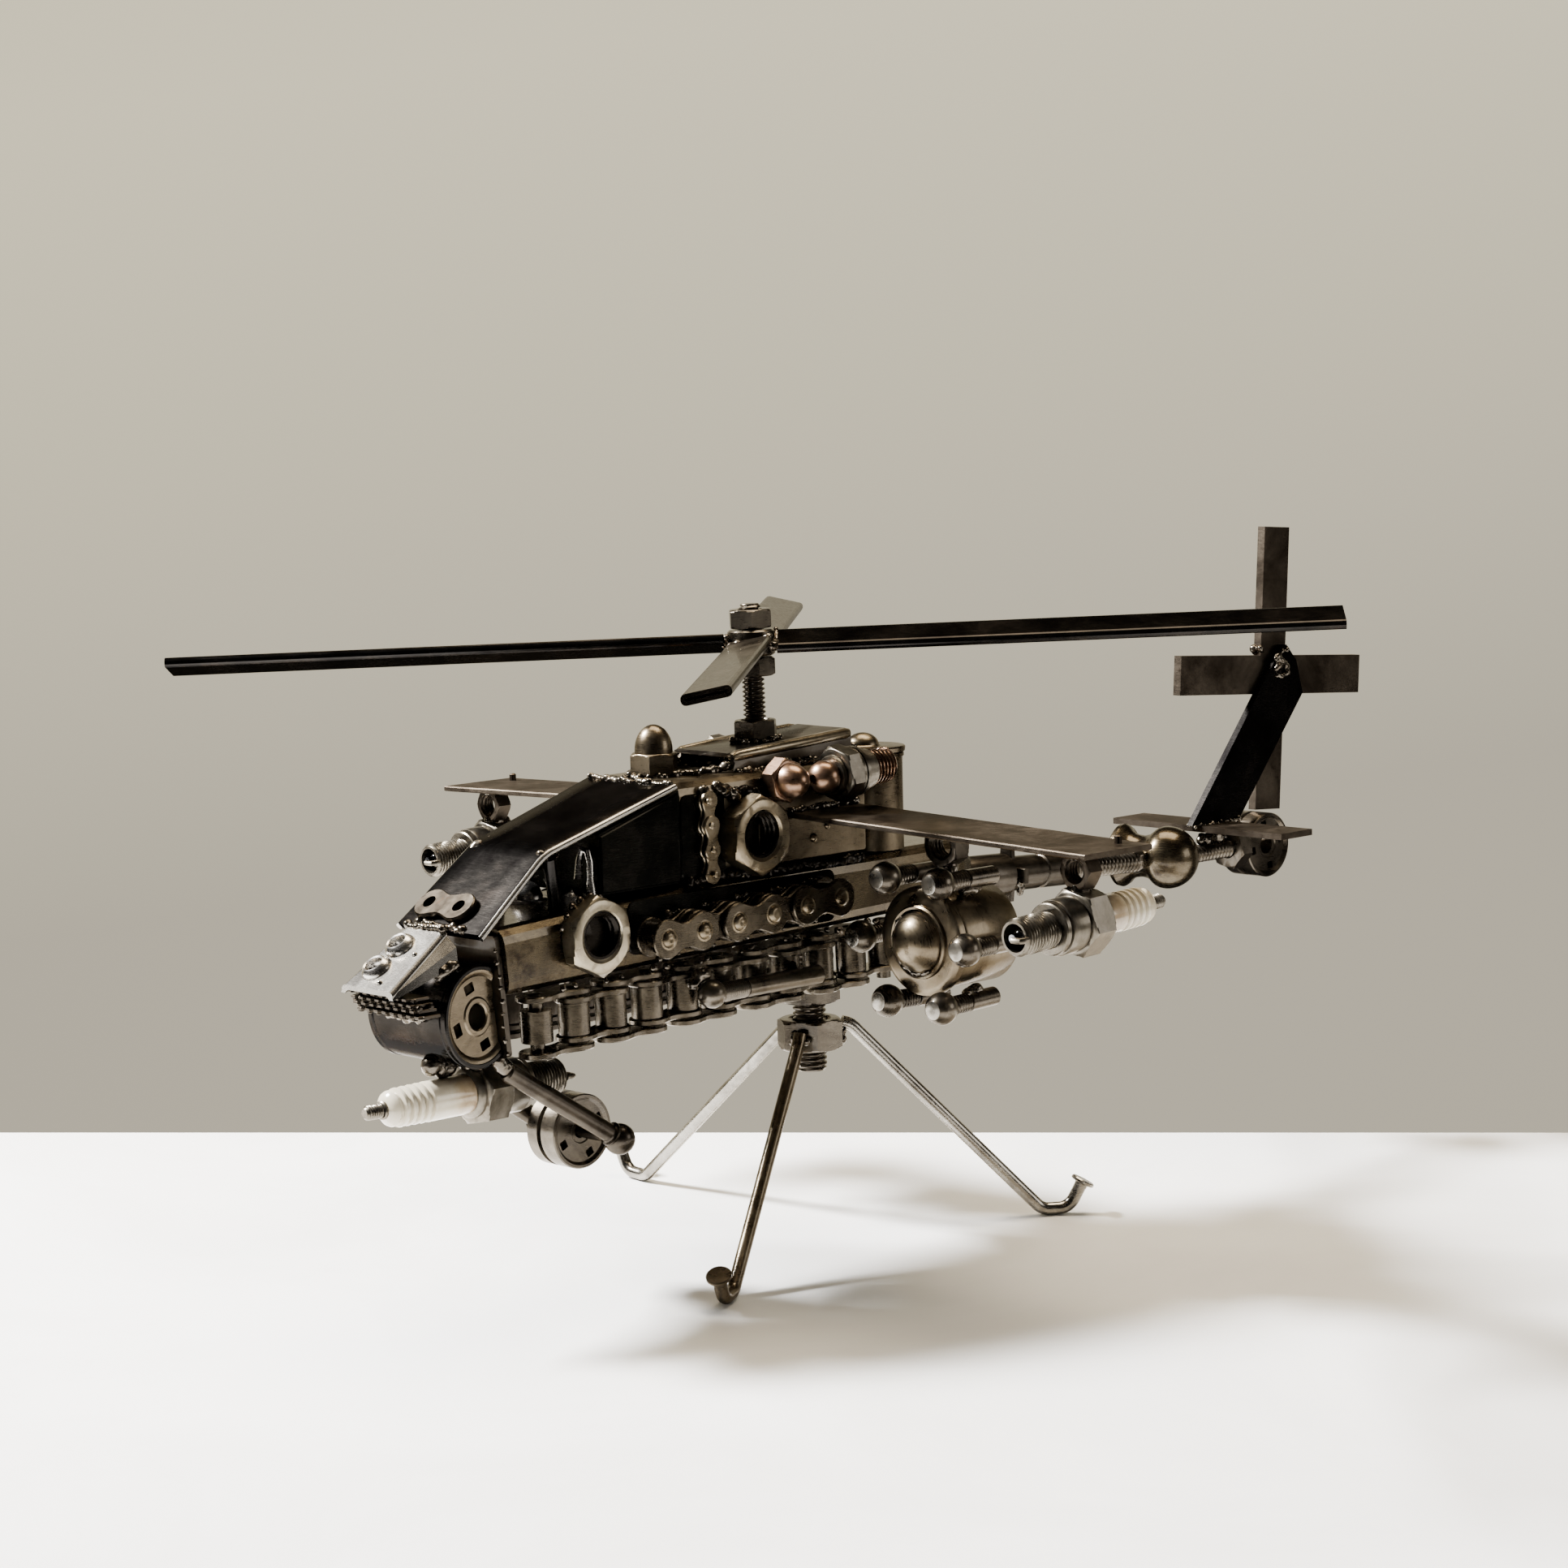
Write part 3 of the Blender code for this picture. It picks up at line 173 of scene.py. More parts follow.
class Shape:
    """Points and faces in millimetres, gathered from many small shells."""

    def __init__(self):
        self.points = []
        self.faces = []

    def rings(self, rings, place=IDENTITY, closed=False):
        """Skin rings of equal count; closed joins the last to the first, else both ends are capped."""
        count = len(rings[0])
        base = len(self.points)
        last = base + (len(rings) - 1) * count
        self.points += [place @ Vector(point) for ring in rings for point in ring]
        for low in range(base, last + (count if closed else 0), count):
            high = low + count if low < last else base
            for k in range(count):
                after = (k + 1) % count
                self.faces.append([low + k, low + after, high + after, high + k])
        if not closed:
            self.faces.append([base + k for k in reversed(range(count))])
            self.faces.append([last + k for k in range(count)])
        return self

    def lathe(self, profile, place=IDENTITY, seg=28, closed=False):
        """Turn (height, radius) pairs about Z."""
        return self.rings([ring_of(seg, r, z) for z, r in profile], place, closed)

    def ball(self, radius, place=IDENTITY, seg=20, rows=12, low=-90.0, high=90.0):
        """Ball, or a zone of one between two latitudes."""
        profile = []
        for k in range(rows + 1):
            angle = radians(low + (high - low) * k / rows)
            profile.append((radius * sin(angle), max(radius * cos(angle), 0.02)))
        return self.lathe(profile, place, seg)

    def thread(self, low, high, radius, pitch, place=IDENTITY, seg=24, deep=0.55, per=6):
        """Threaded rod about Z, eased at both ends."""
        rows = max(int((high - low) / pitch * per), 4)
        rings = []
        for i in range(rows + 1):
            z = low + (high - low) * i / rows
            ease = min(1.0, (z - low) / 0.9, (high - z) / 0.9)
            rings.append(thread_ring(seg, lambda crest: min(radius - deep * pitch * (1 - crest),
                                                            radius - 0.75 * (1 - ease)), z, pitch))
        return self.rings(rings, place)

    def nut(self, flats, height, bore, pitch, place=IDENTITY, corner=1.0):
        """Hexagon nut about Z from 0 up, chamfered, threaded inside."""
        seg = 36
        limit = flats / 2 * HEXAGON_ROUND
        drop = (flats / sqrt(3) - limit) / CHAMFER_SLOPE * corner
        steps = (0.0, 0.2, 0.45, 0.7, 1.0)
        rings = []
        for z in [drop * s for s in steps] + [height / 2] + [height - drop * s for s in reversed(steps)]:
            allowed = limit + CHAMFER_SLOPE / corner * min(z, height - z)
            rings.append(ring_of(seg, lambda angle: min(hexagon(angle, flats), allowed), z))
        lip = bore + 0.09 * flats / 2 + 0.25
        rings += [ring_of(seg, lip + 0.15, height), ring_of(seg, lip, height - 0.15)]
        rows = max(int(height / pitch * 6), 6)
        rings += [thread_ring(seg, lambda crest: bore + 0.5 * pitch * (1 - crest),
                              height - 0.6 - (height - 1.2) * i / rows, pitch) for i in range(rows + 1)]
        rings += [ring_of(seg, lip, 0.15), ring_of(seg, lip + 0.15, 0.0)]
        return self.rings(rings, place, closed=True)

    def acorn(self, flats, height, dome, length, place):
        """Cap nut: a chamfered hexagon with a domed cap."""
        seg = 36
        limit = flats / 2 * HEXAGON_ROUND
        drop = (flats / sqrt(3) - limit) / CHAMFER_SLOPE
        steps = (0.0, 0.3, 0.6, 1.0)
        rings = [ring_of(seg, lambda angle: min(hexagon(angle, flats), limit + CHAMFER_SLOPE * min(z, height - z)), z)
                 for z in [drop * s for s in steps] + [height - drop * s for s in reversed(steps)]]
        rings += [ring_of(seg, dome, height + 0.02), ring_of(seg, dome, height + 0.8)]
        for k in range(1, 11):
            angle = radians(9 * k)
            rings.append(ring_of(seg, max(dome * cos(angle), 0.05), height + 0.8 + (length - 0.8) * sin(angle)))
        return self.rings(rings, place)

    def bore(self, height, radius, pitch, place=IDENTITY):
        """Threaded lining of a nut, with a bottom."""
        seg = 40
        rows = int(height / pitch * 7)
        rings = [ring_of(seg, radius + 1.3, 0.25), ring_of(seg, radius + 1.3, height - 0.5)]
        rings += [thread_ring(seg, lambda crest: radius + 0.6 * pitch * (1 - crest),
                              height - 0.5 - (height - 1.6) * i / rows, pitch) for i in range(rows + 1)]
        rings.append(ring_of(seg, 0.2, 1.0))
        return self.rings(rings, place)

    def prism(self, outline, low, high, place=IDENTITY):
        """Extrude an outline with sharp edges."""
        return self.rings([[(x, y, z) for x, y in outline] for z in (low, high)], place)

    def plate(self, outline, low, high, place=IDENTITY, edge=0.25):
        """Extrude an outline with eased edges."""
        small = inset(outline, edge)
        levels = ((low, small), (low + edge, outline), (high - edge, outline), (high, small))
        return self.rings([[(x, y, z) for x, y in line] for z, line in levels], place)

    def bar(self, path, radii, side, place=IDENTITY, seg=16):
        """Round bar along points in one plane, whose normal is side."""
        side = Vector(side).normalized()
        path = [Vector(point) for point in path]
        rings = []
        for k, point in enumerate(path):
            tangent = (path[min(k + 1, len(path) - 1)] - path[max(k - 1, 0)]).normalized()
            across = side.cross(tangent).normalized()
            radius = radii[k] if isinstance(radii, (list, tuple)) else radii
            rings.append([point + (across * sin(TAU * j / seg) + side * cos(TAU * j / seg)) * radius
                          for j in range(seg)])
        return self.rings(rings, place)

    def roughen(self, size, scale, seed=0.0):
        """Push every point by smooth noise, for hand-cut and hammered metal."""
        for k, point in enumerate(self.points):
            field = noise.noise_vector(point * scale + Vector((seed, seed * 1.7, -seed)))
            self.points[k] = point + field * size
        return self


# ---- objects

PIECES = []


def mesh_object(name, points, faces):
    """Object of a new mesh, its faces turned outwards."""
    mesh = bpy.data.meshes.new(name)
    mesh.from_pydata(points, [], faces)
    mesh.validate()
    work = bmesh.new()
    work.from_mesh(mesh)
    bmesh.ops.recalc_face_normals(work, faces=work.faces)
    work.to_mesh(mesh)
    work.free()
    obj = bpy.data.objects.new(name, mesh)
    bpy.context.collection.objects.link(obj)
    return obj


def piece(name, shape, material, hides=None, place=AIR, sharp=34.0, body="airframe"):
    """Make a piece of the model from a shape and hang it on a body; it may replace a CAD node."""
    obj = mesh_object(name, [point * MM for point in shape.points], shape.faces)
    obj.data.shade_smooth()
    obj.data.set_sharp_from_angle(angle=radians(sharp))
    obj.data.materials.append(material)
    obj.matrix_world = Matrix.Translation(place.translation * MM) @ place.to_3x3().to_4x4()
    bpy.context.view_layer.update()
    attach(obj, body)
    if hides:
        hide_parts(hides)
    PIECES.append(obj)


def dress(node, material, soften=0.3):
    """Give a CAD node that stays its finish and eased edges."""
    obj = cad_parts[node]
    if not obj.material_slots:
        obj.data.materials.append(material)
    for slot in obj.material_slots:
        slot.material = material
    if soften:
        bevel = obj.modifiers.new("Eased", "BEVEL")
        bevel.width = soften * MM
        bevel.segments = 2
        bevel.limit_method = "ANGLE"
        bevel.angle_limit = radians(40)


def baked(obj):
    """Shape of an object with its modifiers applied; the object goes."""
    bpy.context.view_layer.update()
    graph = bpy.context.evaluated_depsgraph_get()
    mesh = bpy.data.meshes.new_from_object(obj.evaluated_get(graph))
    bpy.data.objects.remove(obj, do_unlink=True)
    shape = Shape()
    shape.points = [vertex.co.copy() for vertex in mesh.vertices]
    shape.faces = [list(polygon.vertices) for polygon in mesh.polygons]
    return shape


def carved(shape, cutters):
    """Shape with the cutter shapes taken out."""
    obj = mesh_object("blank", shape.points, shape.faces)
    tools = [mesh_object("cutter", cutter.points, cutter.faces) for cutter in cutters]
    for tool in tools:
        modifier = obj.modifiers.new("Cut", "BOOLEAN")
        modifier.operation = "DIFFERENCE"
        modifier.solver = "EXACT"
        modifier.object = tool
    result = baked(obj)
    for tool in tools:
        bpy.data.objects.remove(tool, do_unlink=True)
    return result


def weld(name, spots, material=None, place=AIR, body="airframe"):
    """Lumpy weld metal: overlapping blobs melted into one skin. Spots are (x, y, z, radius)."""
    shape = Shape()
    for x, y, z, radius in spots:
        squash = turn(draw(0, 360), draw(0, 360), 0)
        grow = Matrix.Diagonal((draw(0.85, 1.25), draw(0.8, 1.1), draw(0.8, 1.1), 1))
        shape.ball(radius, at(x, y, z, squash @ grow), seg=10, rows=7)
    obj = mesh_object("weld", shape.points, shape.faces)
    melt = obj.modifiers.new("Melt", "REMESH")
    melt.mode = "VOXEL"
    melt.voxel_size = WELD_VOXEL
    ease = obj.modifiers.new("Ease", "SMOOTH")
    ease.factor = 0.6
    ease.iterations = 2
    result = baked(obj).roughen(0.16, 1.1, seed=len(PIECES))
    piece(name, result, material or WELD, place=place, sharp=80, body=body)


def bead(start, end, radius, count, wobble=0.5):
    """Spots of an uneven bead from one point to another."""
    start, end = Vector(start), Vector(end)
    spots = []
    for k in range(count):
        point = start.lerp(end, k / max(count - 1, 1))
        jitter = Vector([draw(-wobble, wobble) for _ in range(3)])
        spots.append((*(point + jitter), radius * draw(0.75, 1.25)))
    return spots


def beads(side, *rows):
    """Spots of many beads. A row is both ends' six coordinates for the port side, then bead()'s last arguments."""
    spots = []
    for x0, y0, z0, x1, y1, z1, *rest in rows:
        spots += bead((x0, side * y0, z0), (x1, side * y1, z1), *rest)
    return spots


def collar(centre, radius, axis, size, count, first=0.0, last=360.0, wobble=0.4):
    """Spots of a bead round an axis ('X', 'Y' or 'Z')."""
    spots = []
    for k in range(count):
        angle = radians(first + (last - first) * k / count)
        a, b = radius * cos(angle), radius * sin(angle)
        offset = {"X": (0, a, b), "Y": (a, 0, b), "Z": (a, b, 0)}[axis]
        jitter = [draw(-wobble, wobble) for _ in range(3)]
        spots.append((centre[0] + offset[0] + jitter[0], centre[1] + offset[1] + jitter[1],
                      centre[2] + offset[2] + jitter[2], size * draw(0.75, 1.25)))
    return spots


# ---- materials

def nodes_of(name):
    """New material, its tree, its shader and the object coordinates."""
    material = bpy.data.materials.new(name)
    material.use_nodes = True
    tree = material.node_tree
    return material, tree, tree.nodes["Principled BSDF"], tree.nodes.new("ShaderNodeTexCoord").outputs["Object"]


def feed(tree, node, inputs):
    """Link sockets and set values at a node's inputs."""
    for key, value in inputs.items():
        if isinstance(value, bpy.types.NodeSocket):
            tree.links.new(value, node.inputs[key])
        else:
            node.inputs[key].default_value = value
    return node.outputs


def linked(tree, kind, inputs, **settings):
    """Outputs of a new node."""
    node = tree.nodes.new(kind)
    for key, value in settings.items():
        setattr(node, key, value)
    return feed(tree, node, inputs)


def cloud_of(tree, place, scale, detail, rough=0.5, distortion=0.0):
    return linked(tree, "ShaderNodeTexNoise", {"Vector": place, "Scale": scale, "Detail": detail, "Roughness": rough,
                                               "Distortion": distortion})["Fac"]


def maths(tree, operation, *values):
    return linked(tree, "ShaderNodeMath", dict(enumerate(values)), operation=operation)[0]


def ranged(tree, value, low, high, to_low=0.0, to_high=1.0):
    return linked(tree, "ShaderNodeMapRange", {"Value": value, "From Min": low, "From Max": high,
                                               "To Min": to_low, "To Max": to_high})["Result"]


def bumped(tree, height, strength, distance):
    return linked(tree, "ShaderNodeBump", {"Height": height, "Strength": strength, "Distance": distance})["Normal"]


def ramp(tree, value, stops):
    node = tree.nodes.new("ShaderNodeValToRGB")
    elements = node.color_ramp.elements
    while len(elements) < len(stops):
        elements.new(0.5)
    for element, (position, colour) in zip(elements, stops):
        element.position = position
        element.color = (*colour, 1.0)
    return feed(tree, node, {"Fac": value})["Color"]


def metal(name, tones, rough=(0.2, 0.42), patch=70.0, grain=900.0, scratch=0.5, bump=0.11, coat=0.35, stain=None,
          stain_at=(0.6, 0.76), edge=1.0):
    """Lacquered bare metal: cloudy colour, streaks of grinding, pits and stains."""
    material, tree, shader, place = nodes_of(name)
    cloud = cloud_of(tree, place, patch, 5.0, 0.62, 0.6)
    colour = ramp(tree, cloud, [(0.32 + 0.36 * k / (len(tones) - 1), tone) for k, tone in enumerate(tones)])
    speck = cloud_of(tree, place, grain, 3.0, 0.6)
    streaked = linked(tree, "ShaderNodeMapping", {"Vector": place, "Scale": (1.0, 1.0, 14.0)})["Vector"]
    streak = cloud_of(tree, streaked, grain * 0.35, 2.0, 0.7)
    if stain:
        blot = cloud_of(tree, place, patch * 2.7, 6.0, 0.75)
        mask = ramp(tree, blot, [(stain_at[0], (0, 0, 0)), (stain_at[1], (1, 1, 1))])
        colour = linked(tree, "ShaderNodeMix", {"Factor": mask, 6: colour, 7: (*stain, 1.0)}, data_type="RGBA")[2]
    shade = ramp(tree, speck, [(0.3, (0.7, 0.7, 0.7)), (0.62, (1.0, 1.0, 1.0))])
    colour = linked(tree, "ShaderNodeMix", {"Factor": 0.5, 6: colour, 7: shade}, data_type="RGBA",
                    blend_type="MULTIPLY")[2]
    fine = linked(tree, "ShaderNodeMix", {"Factor": scratch, 2: speck, 3: streak})[0]
    feed(tree, shader, {
        "Base Color": colour,
        "Roughness": ranged(tree, maths(tree, "MULTIPLY", cloud, streak), 0.12, 0.42, *rough),
        "Normal": bumped(tree, maths(tree, "ADD", fine, cloud), bump, 0.0002),
        "Metallic": 1.0, "Specular Tint": (edge, edge * 0.95, edge * 0.88, 1.0),
        "Coat Weight": coat, "Coat Roughness": 0.09})
    return material


def ceramic(name):
    """Off-white glaze with a soot stain that fades from the shell outwards (local +Z)."""
    material, tree, shader, place = nodes_of(name)
    cloud = cloud_of(tree, place, 160.0, 5.0, 0.65)
    along = linked(tree, "ShaderNodeSeparateXYZ", {"Vector": place})["Z"]
    soot_and_shade = maths(tree, "MULTIPLY", cloud, ranged(tree, along, 0.0315, 0.041, 0.62, 0.12))
    feed(tree, shader, {
        "Base Color": ramp(tree, soot_and_shade, [(0.05, (0.52, 0.47, 0.36)), (0.19, (0.38, 0.3, 0.19)),
                                        (0.38, (0.15, 0.09, 0.05))]),
        "Roughness": ranged(tree, cloud, 0.3, 0.7, 0.12, 0.3),
        "Normal": bumped(tree, cloud, 0.12, 0.0003), "Coat Weight": 0.5})
    return material


BRONZE = metal("bronzed steel", [(0.07, 0.053, 0.033), (0.122, 0.097, 0.064), (0.168, 0.138, 0.093)],
               rough=(0.24, 0.42), coat=0.2, stain=(0.028, 0.018, 0.011), edge=0.5)
TUBE = metal("gilded tube", [(0.034, 0.026, 0.016), (0.066, 0.052, 0.032), (0.11, 0.088, 0.056)],
             rough=(0.2, 0.38), patch=45.0, coat=0.3, stain=(0.018, 0.012, 0.008), stain_at=(0.5, 0.66), edge=0.6)
STEEL = metal("lacquered steel", [(0.036, 0.03, 0.023), (0.078, 0.066, 0.05), (0.13, 0.113, 0.089)],
              rough=(0.24, 0.42), coat=0.25, stain=(0.033, 0.021, 0.013), edge=0.8)
DARK = metal("dark steel", [(0.022, 0.018, 0.014), (0.042, 0.035, 0.027), (0.07, 0.06, 0.047)],
             rough=(0.26, 0.44), coat=0.15, stain=(0.036, 0.022, 0.014), edge=0.5)
SHEET = metal("brown sheet", [(0.03, 0.023, 0.017), (0.052, 0.042, 0.032), (0.08, 0.066, 0.051)],
              rough=(0.36, 0.55), coat=0.0, stain=(0.016, 0.01, 0.007), stain_at=(0.62, 0.72), edge=0.36)
BLACK = metal("blackened sheet", [(0.01, 0.009, 0.009), (0.016, 0.015, 0.014), (0.024, 0.021, 0.019)],
              rough=(0.22, 0.3), bump=0.1, stain=(0.04, 0.03, 0.02), stain_at=(0.7, 0.84), coat=0.05, edge=0.35)
NIGHT = metal("black lacquer", [(0.004, 0.004, 0.004), (0.006, 0.006, 0.005), (0.01, 0.009, 0.008)],
              rough=(0.2, 0.34), bump=0.06, stain=(0.026, 0.016, 0.01), stain_at=(0.68, 0.82), coat=0.05, edge=0.25)
CHAIN = metal("chain steel", [(0.036, 0.029, 0.02), (0.074, 0.061, 0.043), (0.122, 0.103, 0.076)], patch=100.0,
              rough=(0.22, 0.38), coat=0.3, stain=(0.026, 0.018, 0.011), stain_at=(0.66, 0.8))
DOOR = metal("bronzed chain", [(0.1, 0.078, 0.048), (0.17, 0.136, 0.088), (0.235, 0.197, 0.136)], patch=120.0,
             rough=(0.24, 0.38), stain=(0.04, 0.026, 0.016), stain_at=(0.68, 0.82))
WELD = metal("weld metal", [(0.034, 0.028, 0.021), (0.088, 0.076, 0.059), (0.052, 0.037, 0.024)], rough=(0.2, 0.38),
             patch=220.0, scratch=0.1, bump=0.15, coat=0.4)
NAIL = metal("drawn wire", [(0.136, 0.124, 0.103), (0.273, 0.254, 0.22), (0.347, 0.328, 0.29)], rough=(0.18, 0.36),
             patch=90.0, stain=(0.099, 0.062, 0.034), stain_at=(0.68, 0.82))
BRASSY = metal("bright nut", [(0.24, 0.205, 0.142), (0.34, 0.296, 0.214), (0.42, 0.373, 0.282)],
               rough=(0.26, 0.42), patch=90.0, stain=(0.112, 0.08, 0.05), stain_at=(0.7, 0.84))
GILT = metal("bronzed nut", [(0.15, 0.12, 0.076), (0.215, 0.177, 0.118), (0.275, 0.232, 0.162)],
             rough=(0.26, 0.42), patch=70.0, stain=(0.06, 0.04, 0.024), stain_at=(0.7, 0.84))
# Near-black for the insides of nut bores and for weld beads along the flank: painted shade.
SHADE_BLACK = metal("painted shade black", [(0.006, 0.005, 0.004), (0.013, 0.011, 0.009), (0.024, 0.02, 0.016)],
             rough=(0.24, 0.4), coat=0.1, edge=0.4)
PLATED = metal("dulled plating", [(0.066, 0.057, 0.042), (0.12, 0.106, 0.083), (0.175, 0.158, 0.129)],
               rough=(0.28, 0.46), patch=130.0, coat=0.2, stain=(0.05, 0.033, 0.02), stain_at=(0.64, 0.8))
CHROME = metal("bright plating", [(0.13, 0.12, 0.101), (0.22, 0.207, 0.18), (0.185, 0.163, 0.126)],
               rough=(0.24, 0.38), patch=110.0, stain=(0.071, 0.046, 0.028), stain_at=(0.68, 0.84))
PALE = metal("hood steel", [(0.17, 0.16, 0.145), (0.25, 0.238, 0.215), (0.31, 0.297, 0.27)],
             rough=(0.22, 0.34), patch=45.0, grain=2200.0, bump=0.05, coat=0.3, stain=(0.09, 0.065, 0.042),
             stain_at=(0.7, 0.86))
SILVER = metal("polished cap", [(0.34, 0.33, 0.31), (0.52, 0.5, 0.47), (0.6, 0.58, 0.54)],
               rough=(0.2, 0.32), patch=90.0, stain=(0.1, 0.075, 0.05), stain_at=(0.72, 0.86))
COPPER = metal("heat-tinted steel", [(0.15, 0.082, 0.05), (0.225, 0.138, 0.088), (0.185, 0.12, 0.09)],
               rough=(0.26, 0.4), patch=90.0, coat=0.25, stain=(0.06, 0.032, 0.022), stain_at=(0.66, 0.82))
CERAMIC = ceramic("glazed ceramic")
GLASS = metal("sooty core", [(0.015, 0.016, 0.02), (0.05, 0.055, 0.065), (0.2, 0.21, 0.22)], rough=(0.05, 0.16),
              patch=260.0, coat=1.0)


# ---- main rotor and mast

def main_rotor():
    shape = Shape()
    shape.thread(-26.4, 10.7, 3.15, 1.27)
    for z, spin in ((4, 20), (-9.2, 34)):
        shape.nut(11.1, 5.2, 2.6, 1.27, at(0, 0, z, turn(0, 0, spin)))
    piece("mast_rod", shape, STEEL, "mast", MAST)
    shape = Shape().nut(11.1, 5.2, 3.45, 1.27, at(0, 0, -26.5, turn(0, 0, 12)))
    piece("mast_socket", shape, STEEL, "roof_nut", MAST)
    spots = collar((0, 0, -26.6), 6.3, "Z", 1.2, 16)
    weld("mast_weld", spots, place=MAST)

    shape = Shape()
    shape.lathe([(-3.5, 3.5), (-3.6, 3.9), (-3.6, 5.9), (-3.1, 6.5), (3.1, 6.5), (3.6, 5.9), (3.6, 3.9), (3.5, 3.5)],
                seg=36, closed=True)
    piece("rotor_boss", shape, STEEL, "rotor_hub", MAST, body="main_rotor")
    spots = []
    for k, pitch in enumerate(BLADE_PITCHES):
        angle = radians(FIRST_BLADE + 90 * k)
        out = Vector((cos(angle), sin(angle), 0))
        wide = Vector((-sin(angle), cos(angle), tan(radians(pitch))))
        for j in range(7):
            share = (j - 3) / 3
            point = out * (7.4 - 0.9 * abs(share)) + wide * share * 5
            spots.append((point.x, point.y, point.z + draw(-0.4, 0.9), draw(1, 1.55)))
    weld("rotor_weld", spots, place=MAST, body="main_rotor")
    # Blades 1 and 3 get the blacker sheet and blades 2 and 4 the lighter one: painted shade and painted reflection on
    # copies of one blade.
    for k, surface in enumerate((BLACK, DARK, BLACK, DARK)):
        dress(f"rotor_blade_{k + 1}", surface, 0.12)


# ---- roof and exhausts

def roof():
    rows = 15
    rings = []
    for k in range(rows):
        share = k / (rows - 1)
        x = -26 + 45.6 * share
        top = -25.4 - 2.9 * share
        outer, inner = [], []
        for j in range(7):
            angle = radians(90 * j / 6)
            outer.append((9.3 + 2.6 * sin(angle), top - 2.6 + 2.6 * cos(angle)))
            inner.append((9.3 + 1.5 * sin(angle), top - 2.6 + 1.5 * cos(angle)))
        half = [(0, top)] + outer + [(12, -31), (12.2, -33)]
        back = [(11, -33), (10.8, -31)] + inner[::-1] + [(0, top - 1.1)]
        right = half + back
        left = [(-y, z) for y, z in reversed(right[1:-1])]
        ring = []
        for y, z in right + left:
            tear = 0
            if k >= rows - 2:
                tear = 2.6 * noise.noise(Vector((y * 0.28, z * 0.3, 4))) - 0.8 * (k == rows - 1)
            ring.append((x + tear, y, z))
        rings.append(ring)
    shape = Shape().rings(rings)
    shape.roughen(0.22, 0.11, 3)
    piece("roof_fairing", shape, DARK, "roof_channel")
    # Bright round bars laid along the roof's curved edges: painted highlight on the edges.
    lip = Shape()
    for side in (1, -1):
        lip.bar([(18.6, side * 10.9, -29.6), (17, side * 11, -29.2), (0, side * 11.05, -28.1),
                 (-24, side * 11.05, -26.7), (-25.6, side * 10.9, -26.7)],
                [1.2, 1.55, 1.6, 1.6, 1.3], (0, 1, 0), seg=18)
    lip.roughen(0.12, 0.3, 6)
    piece("roof_edge_highlights", lip, GILT)

    shape = Shape()
    shape.acorn(11.7, 6, 5.15, 7.6, at(37, 0, -33, turn(0, 0, 8)))
    piece("roof_cap_nut", shape, BRONZE, "roof_acorn")

    for name, side in SIDES:
        shape = Shape()
        shape.acorn(11, 4.8, 4.8, 6.3, at(7.6, side * 16.8, -36.1, to_y(side) @ turn(0, 0, 10)))
        piece(f"exhaust_cap_{name}", shape, COPPER, f"exhaust_acorn_{name}")

        pose = at(-3.4, side * 24.1, -36, turn(0, -87, 0))
        ball = Shape()
        ball.ball(4.6, pose, rows=16)
        hole = Shape().lathe([(-8, 1.3), (-1.5, 1.3)], pose, seg=16)
        shape = carved(ball, [hole])
        shape.thread(15.5, 24, 5, 1.25, pose)
        piece(f"exhaust_nozzle_{name}", shape, COPPER)
        shape = Shape()
        shape.lathe([(2.2, 3.4), (2.4, 5.2), (3, 5.6), (3.4, 5.6), (3.6, 5)], pose)
        shape.nut(14, 5.2, 3.6, 1.25, pose @ at(0, 0, 3.6, turn(0, 0, 15)))
        shape.lathe([(8.6, 4.4), (8.7, 7), (9.5, 7.1), (9.7, 6.2), (10, 6.2), (10.2, 7), (11.2, 7),
                     (11.4, 6.2), (13.6, 6.1), (13.8, 5.6), (15.8, 5.5), (15.9, 4.4)], pose)
        piece(f"exhaust_fitting_{name}", shape, PLATED, f"exhaust_fitting_{name}")

        pose = at(-35.4, side * 10.6, 0)
        shape = Shape()
        shape.lathe([(-60.2, 8), (-60, 8.4), (-34.4, 8.45), (-33.9, 8.9), (-33.1, 8.9), (-32.8, 8.5),
                     (-32.6, 9.2), (-31.5, 9.35), (-31.1, 9.1), (-31, 8.6), (-31.05, 0.3)], pose, seg=36)
        shape.lathe([(-31.6, 5), (-31, 5), (-30.7, 4.6)]
                    + [(-30.9 + 3.5 * sin(radians(a)), max(4.6 * cos(radians(a)), 0.05))
                       for a in range(10, 91, 10)], pose @ at(1.9, side * -1.9, 0), seg=32)
        piece(f"rear_stack_{name}", shape, BRONZE, f"rear_can_{name}")
        spots = beads(side, (10.8, 16.6, -33.5, 4, 16.6, -32, 1.5, 5),
                      (-9, 17.6, -41, -22, 17.4, -39.5, 1.4, 7, 0.8),
                      (-8.5, 18.5, -33, -15.5, 18.8, -32.8, 1.6, 5, 0.8),
                      (18, 12.4, -33.2, -24, 12.6, -33, 1.3, 20, 0.6),
                      (-24.5, 5, -30, -26.5, 12, -31, 1.2, 5))
        weld(f"roof_weld_{name}", spots)
    spots = collar((37, 0, -33.1), 6.2, "Z", 1.3, 9, -60, 150)
    spots += beads(1, (32, 3, -33, 30, 9, -33.2, 1.3, 5), (28, -7, -32.6, 21, -9.5, -31.8, 1.4, 5),
                   (26, 7, -32.8, 20, 10, -31.8, 1.4, 5))
    weld("roof_front_weld", spots)


# ---- cabin and flanks

